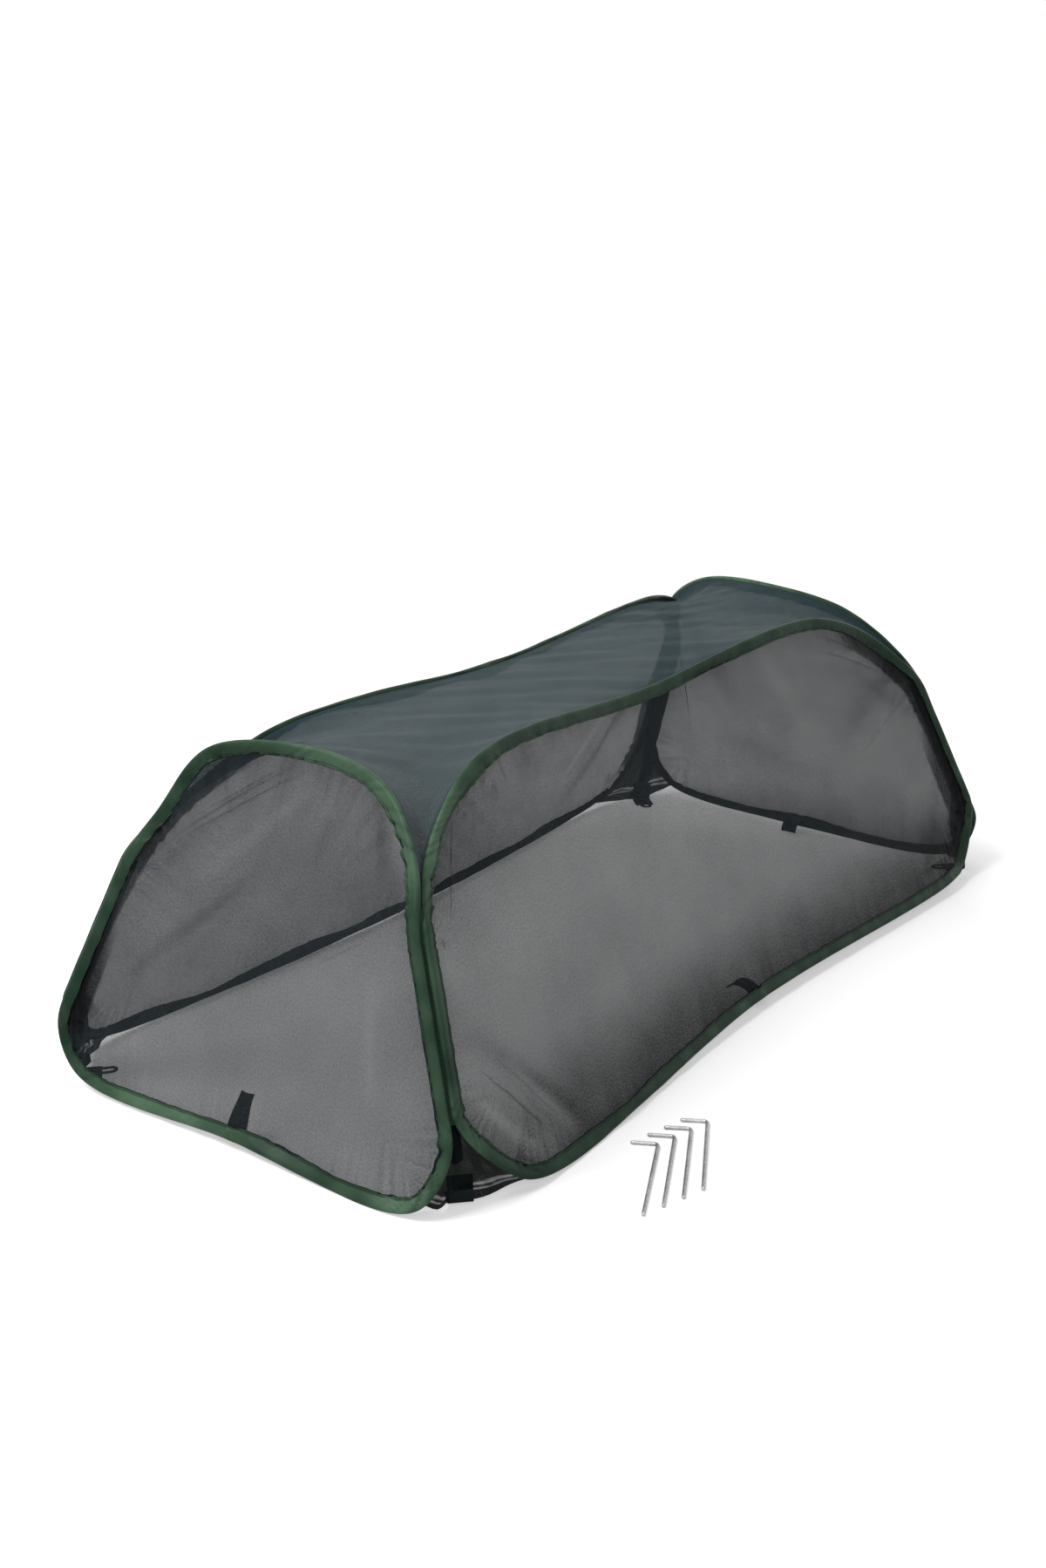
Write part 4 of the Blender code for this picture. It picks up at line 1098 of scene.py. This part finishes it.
class Corner:
    """Where a long and an end panel meet: the seam's line, and the ways into and across the corner."""

    def __init__(self, name, long_hoop, end_hoop, long_side, end_side, seed):
        self.name, self.long_hoop, self.end_hoop = name, long_hoop, end_hoop
        self.long_side, self.end_side, self.seed = long_side, end_side, seed
        self.inside = -unit(long_hoop.out + end_hoop.out)
        self.across = unit(end_hoop.out - long_hoop.out)
        lean = long_hoop.out * math.tan(LONG_LEAN) + end_hoop.out * math.tan(END_LEAN)
        self.up = unit(np.array((0, 0, 1.0)) - lean)
        system = np.stack([long_hoop.axes[2], end_hoop.axes[2], self.up])
        inset = -(FOLD_R + CLEARANCE)
        self.foot = long_hoop.origin + end_hoop.out * (LENGTH / 2)
        self.foot = self.foot + np.linalg.solve(system, np.array((inset, inset, 0.0)))

    def at(self, z):
        """The seam's line at that height."""
        return self.foot + self.up * ((z - self.foot[2]) / self.up[2])

    def beside(self, middle, reach):
        """Two points on either side of the middle, towards the long and the end hoop."""
        return tuple(middle - self.across * reach), tuple(middle + self.across * reach)


def lower_corner(hoop, side, inwards, count):
    """Points beside the wire from the seam's lower end to the ground, where u has that sign."""
    low_v = SEAM_LOW_Z / math.cos(hoop.lean)
    reach = LONG_CORNER if hoop.lean == LONG_LEAN else END_CORNER
    chosen = (np.sign(hoop.wire[:, 0]) == side) & (hoop.wire[:, 1] < low_v + 0.006)
    chosen &= np.abs(hoop.wire[:, 0]) > hoop.half - reach
    points = hoop.world((hoop.wire + hoop.inward * inwards)[chosen])
    points = points[np.argsort(-points[:, 2])]
    travel = travelled(points)
    return spaced(points, travel, np.linspace(0, travel[-1], count))


def gusset_cloth(corner):
    """Dense net below the seam, folded back into the corner: its points, uvs and densities."""
    long_edge = lower_corner(corner.long_hoop, corner.long_side, 0.002, GUSSET_ROWS)
    end_edge = lower_corner(corner.end_hoop, corner.end_side, 0.002, GUSSET_ROWS)
    heights = (long_edge[:, 2] + end_edge[:, 2]) / 2
    heights[-1] = 0.002
    top = corner.at(heights[0])
    ground = corner.foot * (1, 1, 0) + corner.inside * FOOT_SETBACK
    fold = ground + (top - ground) * (heights / heights[0])[:, None]
    x = np.linspace(-1, 1, GUSSET_COLUMNS)
    xx = x[None, :, None]
    to_long = fold[:, None] * (1 + xx) - long_edge[:, None] * xx
    to_end = fold[:, None] * (1 - xx) + end_edge[:, None] * xx
    rows = np.where(xx < 0, to_long, to_end)
    down = np.linspace(0, 1, GUSSET_ROWS)[:, None]
    span = np.linalg.norm(long_edge - end_edge, axis=1)[:, None]
    room = np.clip(span / 0.12, 0, 1) * np.cos(x * math.pi / 2)
    sway = 0.006 * room * ripple(corner.seed, x[None, :] * 2.4, down * 0.9)
    rows = rows + corner.inside * sway[..., None]
    rows[..., 2] = np.maximum(rows[..., 2], GUSSET_LOW_Z)
    uvs = np.stack(np.broadcast_arrays(x * 0.06, down * 0.16), axis=-1)
    density = 0.10 * np.abs(ripple(corner.seed + 1, x[None, :] * 3.0, down * 1.2))
    for level in GUSSET_CLEAR:
        density = density - 0.40 * np.exp(-((down - level - 0.05 * x) / 0.022) ** 2)
    return rows, uvs, density


def gusset_piece(name, cloth, first, last):
    """The gusset's net from one column to before another."""
    rows, uvs, density = (values[:, first:last] for values in cloth)
    return mesh_object(
        name, rows.reshape(-1, 3), grid_faces(*rows.shape[:2]), GUSSET_NET, uvs.reshape(-1, 2),
        {"doubling_and_shade": density.ravel()},
    )


def strip(name, path, width_axis, width, thickness, material, columns):
    """Webbing or tape laid along a path, with its width along one direction."""
    path = np.asarray(path, float)
    width_axis = np.broadcast_to(np.asarray(width_axis, float), path.shape)
    across = np.linspace(-0.5, 0.5, columns) * width
    rows = path[:, None] + across[:, None] * width_axis[:, None]
    uvs = np.stack(np.broadcast_arrays(travelled(path)[:, None], across), axis=-1)
    return thick_sheet(name, rows, thickness, material, uvs)


def smooth_path(points, count):
    """A soft curve through a few points."""
    points = np.asarray(points, float)
    for _ in range(4):
        middle = (points[:-1] * 0.75 + points[1:] * 0.25, points[:-1] * 0.25 + points[1:] * 0.75)
        inner = np.stack(middle, axis=1).reshape(-1, points.shape[1])
        points = np.vstack([points[:1], inner, points[-1:]])
    travel = travelled(points)
    return spaced(points, travel, np.linspace(0, travel[-1], count))


# The patch's webbing seen from the side: how far out from the corner's foot, and how high
PATCH_PATH = [
    (-0.0120, 0.0), (-0.0040, 0.0), (0.0085, 0.0), (0.0125, 0.001), (0.0120, 0.009),
    (0.0085, 0.020), (0.0060, 0.027),
]
# Its square of stitches: how far out, and how far across
PATCH_STITCHES = [(-0.0095, -0.010), (0.004, -0.010), (0.004, 0.010), (-0.0095, 0.010)]
PATCH_WIDTH = 0.025
PATCH_THICKNESS = 0.0014
PATCH_Z = 0.0012            # of its middle where it lies on the ground

LOOP_WIDTH = 0.0042
LOOP_THICKNESS = 0.0012
LOOP_R = 0.0058             # of the bend, to the tape's middle
LOOP_LEG = (-0.004, 0.0, 0.004, 0.008)
LOOP_BEND = 0.0115          # from its start to the bend's centre
LOOP_BACK = 0.0105          # from its middle back to its start
LOOP_Z = 0.0016             # of its middle at its start, and how much higher its bend lies


def make_patch(name):
    """Black webbing folded up at the corner's foot, sewn down with a square of stitches."""
    low, high = (np.array(v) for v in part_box("corner_patch_" + name))
    centre = (low + high) / 2
    outwards = unit(np.array((np.sign(centre[0]), np.sign(centre[1] - MIDDLE_Y), 0.0)))
    side = np.array((-outwards[1], outwards[0], 0.0))
    up = np.array((0, 0, 1.0))
    ground = centre * (1, 1, 0) + up * PATCH_Z
    path = smooth_path([ground + outwards * a + up * h for a, h in PATCH_PATH], 26)
    webbing = strip("corner_patch_" + name, path, side, PATCH_WIDTH, PATCH_THICKNESS, WEBBING, 11)
    line = np.array([ground + outwards * a + side * b + up * 0.0009 for a, b in PATCH_STITCHES])
    return joined("corner_patch_" + name, [webbing, stitched("patch_stitches", [(line, True)])])


def make_loop(name):
    """Narrow tape doubled back into a peg loop, lying towards the inside."""
    low, high = (np.array(v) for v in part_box("peg_loop_" + name))
    patch_low, patch_high = (np.array(v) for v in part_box("corner_patch_" + name))
    centre, patch = (low + high) / 2, (patch_low + patch_high) / 2
    inside = unit((centre - patch) * (1, 1, 0))
    side = np.array((-inside[1], inside[0], 0.0))
    start = centre * (1, 1, 0) - inside * LOOP_BACK + np.array((0, 0, LOOP_Z))
    points = [start - side * LOOP_R + inside * a for a in LOOP_LEG]
    for a in np.linspace(-math.pi / 2, math.pi / 2, 13):
        points.append(start + inside * (LOOP_BEND + LOOP_R * math.cos(a)) + side * LOOP_R * math.sin(a))
    points += [start + side * LOOP_R + inside * a for a in LOOP_LEG[::-1]]
    path = np.array(points)
    across = np.cross(unit(np.gradient(path, axis=0)), np.array((0, 0, 1.0)))
    path[:, 2] += LOOP_Z * np.clip(np.linalg.norm(path - start, axis=1) / 0.02, 0, 1)
    return strip("peg_loop_" + name, path, across, LOOP_WIDTH, LOOP_THICKNESS, WEBBING, 5)


WHIP_PITCH = 0.0045             # between two turns of the thread along the seam
WHIP_SIZE = (0.0024, 0.0009)    # half of the thread's loops, across the corner and out of it
WHIP_R = 0.00042
CORE_WIDTH = 0.0078
CORE_THICKNESS = 0.0016
CORE_PAST_SEAM = 0.012
CORE_PAST_NEAR_LEFT = 0.036     # there the bunched net shows above the seam


def make_seam(corner):
    """Whipped thread that winds round the two sleeves' meeting line, and the bunched net inside it."""
    low, high = corner.at(SEAM_LOW_Z), corner.at(SEAM_HIGH_Z)
    side = unit(np.cross(corner.up, corner.long_hoop.out + corner.end_hoop.out))
    front = unit(np.cross(side, corner.up))
    turns = int(np.linalg.norm(high - low) / WHIP_PITCH)
    angle = np.linspace(0, 2 * math.pi * turns, turns * 12)[:, None]
    path = low + (high - low) * np.linspace(0, 1, len(angle))[:, None]
    path = path + side * np.cos(angle) * WHIP_SIZE[0] + front * np.sin(angle) * WHIP_SIZE[1]
    whip = tube("whip_thread_" + corner.name, path, WHIP_R, 6, THREAD)
    past_top = CORE_PAST_NEAR_LEFT if corner.name == "near_left" else CORE_PAST_SEAM
    bottom, top = low - corner.up * CORE_PAST_SEAM, high + corner.up * past_top
    spine = bottom + (top - bottom) * np.linspace(0, 1, 24)[:, None] - front * (CORE_THICKNESS / 2)
    core = strip("seam_core_" + corner.name, spine, side, CORE_WIDTH, CORE_THICKNESS, THREAD, 5)
    return joined("sewn_corner_" + corner.name, [whip, core])


def make_web(corner, label, low, high, lift):
    """Net behind the corner's seam, folded to a V, that spans the gap when the corner opens.

    low and high bound its width, from the long hoop's side to the end hoop's.
    """
    bottom, top = corner.at(WEB_LOW_Z), corner.at(SEAM_HIGH_Z + WEB_PAST_SEAM)
    a = np.linspace(low, high, WEB_COLUMNS)
    spine = bottom + (top - bottom) * np.linspace(0, 1, WEB_ROWS)[:, None]
    drawn_in = np.clip(1 - spine[:, 2:] / (SEAM_LOW_Z + 0.01), 0, 1)
    spine = spine + corner.inside * (FOOT_SETBACK * drawn_in)
    depth = np.abs(a) * WEB_SLOPE + WEB_BEHIND + lift
    rows = spine[:, None] + corner.across * a[:, None] + corner.inside * depth[:, None]
    travel = np.linalg.norm(spine - spine[0], axis=1)
    uvs = np.stack(np.broadcast_arrays(travel[:, None], a), axis=-1)
    return mesh_object(
        "corner_web_" + corner.name + label, rows.reshape(-1, 3), grid_faces(WEB_ROWS, WEB_COLUMNS),
        GUSSET_NET, uvs.reshape(-1, 2), {"doubling_and_shade": np.zeros(WEB_ROWS * WEB_COLUMNS)},
    )


# Tabs and pegs

# How high each tab stands, how far it curls over and leans in, in degrees, and how far it narrows
TAB_SHAPES = {
    "left": dict(rise=0.042, curl=16.0, fold=0.32, lean=8.0, width=0.0240),
    "front": dict(rise=0.038, curl=105.0, fold=0.0, lean=20.0, width=0.0220),
    "right": dict(rise=0.036, curl=150.0, fold=0.0, lean=30.0, width=0.0220),
    "back": dict(rise=0.036, curl=60.0, fold=0.0, lean=12.0, width=0.0220),
}

TAB_FOOT = (0.0, 0.004, -0.0046)    # from the wire to the tab's foot, in (u, v, w)
TAB_SEWN = (0.0, 0.007, -0.0046)    # and to where it is sewn on
TAB_FLEX = 0.014                    # a height above that
TAB_THICKNESS = 0.0017
TAB_STEPS = 22
TAB_COLUMNS = 11
TAB_CUP = 0.0016                    # how far its edges curl inwards at the top


def make_tab(hoop):
    """Folded webbing that stands inside the middle of the lower run and curls over."""
    shape = TAB_SHAPES[hoop.name]
    base = hoop.wire[0] + np.array(TAB_FOOT)
    way = np.linspace(0, 1, TAB_STEPS + 1)
    path = [base]
    for k in range(TAB_STEPS):
        bend = math.radians(shape["lean"] + shape["curl"] * (k / TAB_STEPS) ** 1.3)
        path.append(path[-1] + np.array((0.0, math.cos(bend), -math.sin(bend))) * shape["rise"] / TAB_STEPS)
    across = np.linspace(-0.5, 0.5, TAB_COLUMNS)
    taper = 1 - shape["fold"] * smooth_step(1.3 * way - 0.2)
    width = shape["width"] * taper[:, None] * across
    cup = TAB_CUP * way[:, None] * (np.abs(across) * 2) ** 2
    rows = np.array(path)[:, None] + np.array((1.0, 0, 0)) * width[..., None]
    rows = rows + np.array((0, 0.3, -1.0)) * cup[..., None]
    uvs = np.stack(np.broadcast_arrays(way[:, None] * shape["rise"], across * shape["width"]), axis=-1)
    webbing = thick_sheet("tab_" + hoop.name, hoop.world(rows), TAB_THICKNESS, WEBBING, uvs)
    line = np.array([base + np.array((a, 0.004, 0.0011)) for a in np.linspace(-0.008, 0.008, 5)])
    return joined("tab_" + hoop.name, [webbing, stitched("tab_stitches", [(hoop.world(line), False)])])


PEG_R = 0.0020
PEG_LEG = 0.145
PEG_ARM = 0.026
PEG_BEND_R = 0.005
PEG_FIRST = (-0.360, -0.346)    # the first peg's elbow, from the middle of the cover
PEG_STEP = (0.024, -0.005)      # from one elbow to the next
PEG_TURN = 206.0                # of the first peg's leg, in degrees from X
PEG_TURN_STEP = 0.9


def make_peg(index):
    """Galvanised rod bent square at its head, lying on the ground."""
    turn = math.radians(PEG_TURN + PEG_TURN_STEP * index)
    elbow_x = PEG_FIRST[0] + PEG_STEP[0] * index
    elbow_y = MIDDLE_Y + PEG_FIRST[1] + PEG_STEP[1] * index
    leg = [(k, 0.0) for k in np.linspace(PEG_LEG, PEG_BEND_R, 30)]
    quarter = np.linspace(0, math.pi / 2, 10)[1:]
    bend = [(PEG_BEND_R * (1 - math.sin(a)), PEG_BEND_R * (math.cos(a) - 1)) for a in quarter]
    arm = [(0.0, -k) for k in np.linspace(PEG_BEND_R, PEG_ARM, 8)[1:]]
    points = np.array(leg + bend + arm)
    cos, sin = math.cos(turn), math.sin(turn)
    path = np.stack([
        elbow_x + points[:, 0] * cos - points[:, 1] * sin,
        elbow_y + points[:, 0] * sin + points[:, 1] * cos,
        np.full(len(points), PEG_R),
    ], axis=1)
    return tube(f"ground_peg_{index + 1}", path, PEG_R, 20, ZINC)


# Assembly


def dress_hoops(hoops):
    """What each hoop carries: its sleeve, net, tab, wire and ferrule."""
    for name, hoop in hoops.items():
        sleeve = joined("sleeve_" + name, [make_sleeve(hoop), make_stitches(hoop)])
        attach(sleeve, name)
        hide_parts("sleeve_" + name)
        net, flat, area = make_net(hoop)
        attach(net, name)
        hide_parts("net_" + name)
        tab = make_tab(hoop)
        sewn = hoop.wire[0] + np.array(TAB_SEWN)
        free = sewn + np.array((0.0, TAB_FLEX, 0.0))
        tuple(hoop.world(sewn))
        tuple(hoop.world(free))
        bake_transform(tab)
        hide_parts("tab_" + name)
        wire = tube("spring_rod_" + name, hoop.world(hoop.wire[1:]), WIRE_R, 8, SPRING)
        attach(wire, name)
        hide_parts("spring_wire_" + name)
        ferrule = make_ferrule(hoop)
        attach(ferrule, name)
        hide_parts("ferrule_" + name)


def dress_top(hoops):
    """The roof, built between the four upper runs.
    """
    net, flat, area = make_top_net(hoops)
    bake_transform(net)
    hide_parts("net_top")


def dress_corner_net(corner):
    """The corner's gusset and web: one cloth at a near corner, two halves at a far one."""
    name, long_name, end_name = corner.name, corner.long_hoop.name, corner.end_hoop.name
    cloth = gusset_cloth(corner)
    middle = GUSSET_COLUMNS // 2
    if long_name == "front":
        gusset = gusset_piece("gusset_" + name, cloth, 0, GUSSET_COLUMNS)
        at_long, at_end = corner.beside(cloth[0][:, middle].mean(axis=0), GUSSET_FLEX)
        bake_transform(gusset)
        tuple(at_long)
        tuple(at_end)
        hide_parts("gusset_" + name)
        web = make_web(corner, "", -WEB_HALF, WEB_HALF, 0.0)
        seam_middle = (corner.at(WEB_LOW_Z) + corner.at(SEAM_HIGH_Z + WEB_PAST_SEAM)) / 2
        at_long, at_end = corner.beside(seam_middle, WEB_FLEX)
        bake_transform(web)
        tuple(at_long)
        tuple(at_end)
        return [gusset, web]
    lapping = (cloth[0] + corner.inside * GUSSET_LAP_GAP, *cloth[1:])
    long_gusset = gusset_piece(f"gusset_{name}_long", cloth, 0, middle + GUSSET_OVERLAP + 1)
    end_gusset = gusset_piece(f"gusset_{name}_end", lapping, middle - GUSSET_OVERLAP, GUSSET_COLUMNS)
    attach(long_gusset, long_name)
    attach(end_gusset, end_name)
    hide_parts("gusset_" + name)
    long_web = make_web(corner, "_long", -WEB_HALF, WEB_OVERLAP, 0.0)
    end_web = make_web(corner, "_end", -WEB_OVERLAP, WEB_HALF, WEB_LAP_GAP)
    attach(long_web, long_name)
    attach(end_web, end_name)
    return [long_gusset, end_gusset, long_web, end_web]


def dress_corners(hoops):
    """Nets, patches, peg loops and seams of the four corners. A far one's patch rides its end hoop."""
    for name, (long_name, end_name, *rest) in CORNERS.items():
        corner = Corner(name, hoops[long_name], hoops[end_name], *rest)
        for net in dress_corner_net(corner):
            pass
        carrier = "front" if long_name == "front" else end_name
        for kind, ob in (
            ("corner_patch_", make_patch(name)), ("peg_loop_", make_loop(name)),
            ("corner_seam_", make_seam(corner)),
        ):
            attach(ob, carrier)
            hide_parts(kind + name)


def dress_pegs():
    """Four loose pegs in a row in front of the cover."""
    for index in range(4):
        peg = make_peg(index)
        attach(peg, f"peg_{index + 1}")
        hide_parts(f"ground_peg_{index + 1}")


# Camera, floor and light


def place_camera():
    """The camera where the photo was taken from."""
    data = bpy.data.cameras.new("photo_camera")
    data.sensor_fit = "VERTICAL"
    data.sensor_height = SENSOR_HEIGHT
    data.lens = FOCAL_PIXELS / IMAGE_HEIGHT * SENSOR_HEIGHT
    data.shift_x = -SHIFT_PIXELS[0] / IMAGE_HEIGHT
    data.shift_y = SHIFT_PIXELS[1] / IMAGE_HEIGHT
    camera = bpy.data.objects.new("photo_camera", data)
    camera.location = CAMERA_PLACE
    camera.rotation_euler = (math.pi / 2 - CAMERA_PITCH, 0.0, -CAMERA_YAW)
    bpy.context.scene.collection.objects.link(camera)
    bpy.context.scene.camera = camera


def make_floor():
    """A white ground that keeps the object's shadow near it, has painted light that washes the shadow out
    further away, and fades into the white round it.
    """
    points = [(x * FLOOR_REACH, y * FLOOR_REACH, 0) for x, y in ((-1, -1), (1, -1), (1, 1), (-1, 1))]
    n = Nodes("white_ground")
    flat = n.add("ShaderNodeVectorMath", operation="MULTIPLY", _0=n.place(), _1=(1.0, FLOOR_WIDER, 0.0))
    distance = n.add("ShaderNodeVectorMath", operation="LENGTH", _0=flat.outputs[0]).outputs["Value"]
    seen = n.add("ShaderNodeLightPath").outputs["Is Camera Ray"]
    n.surface(
        colour=(0.80, 0.80, 0.80), rough=0.9, gloss=0.1,
        alpha=n.spread(distance, *FLOOR_FADE, 1.0, 0.0),
    )
    n.put(n.shader, "Emission Color", (1.0, 1.0, 1.0, 1.0))
    lift = n.spread(distance, *FLOOR_LIFT_FADE, *FLOOR_LIFT)
    n.put(n.shader, "Emission Strength", n.math("MULTIPLY", seen, lift))
    floor = mesh_object("ground", points, [(0, 1, 2, 3)], n.material, smooth=False)


def add_light(name, place, target, size, watts):
    data = bpy.data.lights.new(name, "AREA")
    data.energy, data.size = watts, size
    light = bpy.data.objects.new(name, data)
    light.location = place
    light.rotation_euler = (Vector(target) - Vector(place)).to_track_quat("-Z", "Y").to_euler()
    bpy.context.scene.collection.objects.link(light)


def light_scene():
    """A white room, dimmer as a light than where it is seen, with a high key light and a soft fill."""
    world = bpy.data.worlds.new("white_studio")
    bpy.context.scene.world = world
    world.use_nodes = True
    tree = world.node_tree
    tree.nodes.clear()
    add, link = tree.nodes.new, tree.links.new
    path = add("ShaderNodeLightPath")
    seen = path.outputs["Is Camera Ray"]
    for ray in ("Is Glossy Ray", "Is Transmission Ray"):
        either = add("ShaderNodeMath")
        either.operation = "MAXIMUM"
        link(seen, either.inputs[0])
        link(path.outputs[ray], either.inputs[1])
        seen = either.outputs[0]
    strength = add("ShaderNodeMapRange")
    strength.inputs["To Min"].default_value = ROOM_LIGHT
    strength.inputs["To Max"].default_value = 1.0
    background = add("ShaderNodeBackground")
    background.inputs["Color"].default_value = (1, 1, 1, 1)
    link(seen, strength.inputs["Value"])
    link(strength.outputs[0], background.inputs["Strength"])
    link(background.outputs[0], add("ShaderNodeOutputWorld").inputs[0])
    add_light("key_light", (-2.5, 1.6, 4.4), (0, 0.05, 0.1), 2.4, 200)
    add_light("fill_light", (-2.6, -2.4, 1.8), (0, 0, 0.15), 2.2, 14)


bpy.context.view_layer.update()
hoops = make_hoops()
dress_hoops(hoops)
dress_top(hoops)
dress_corners(hoops)
dress_pegs()
make_floor()
light_scene()
place_camera()
bpy.context.scene.view_settings.view_transform = "Standard"
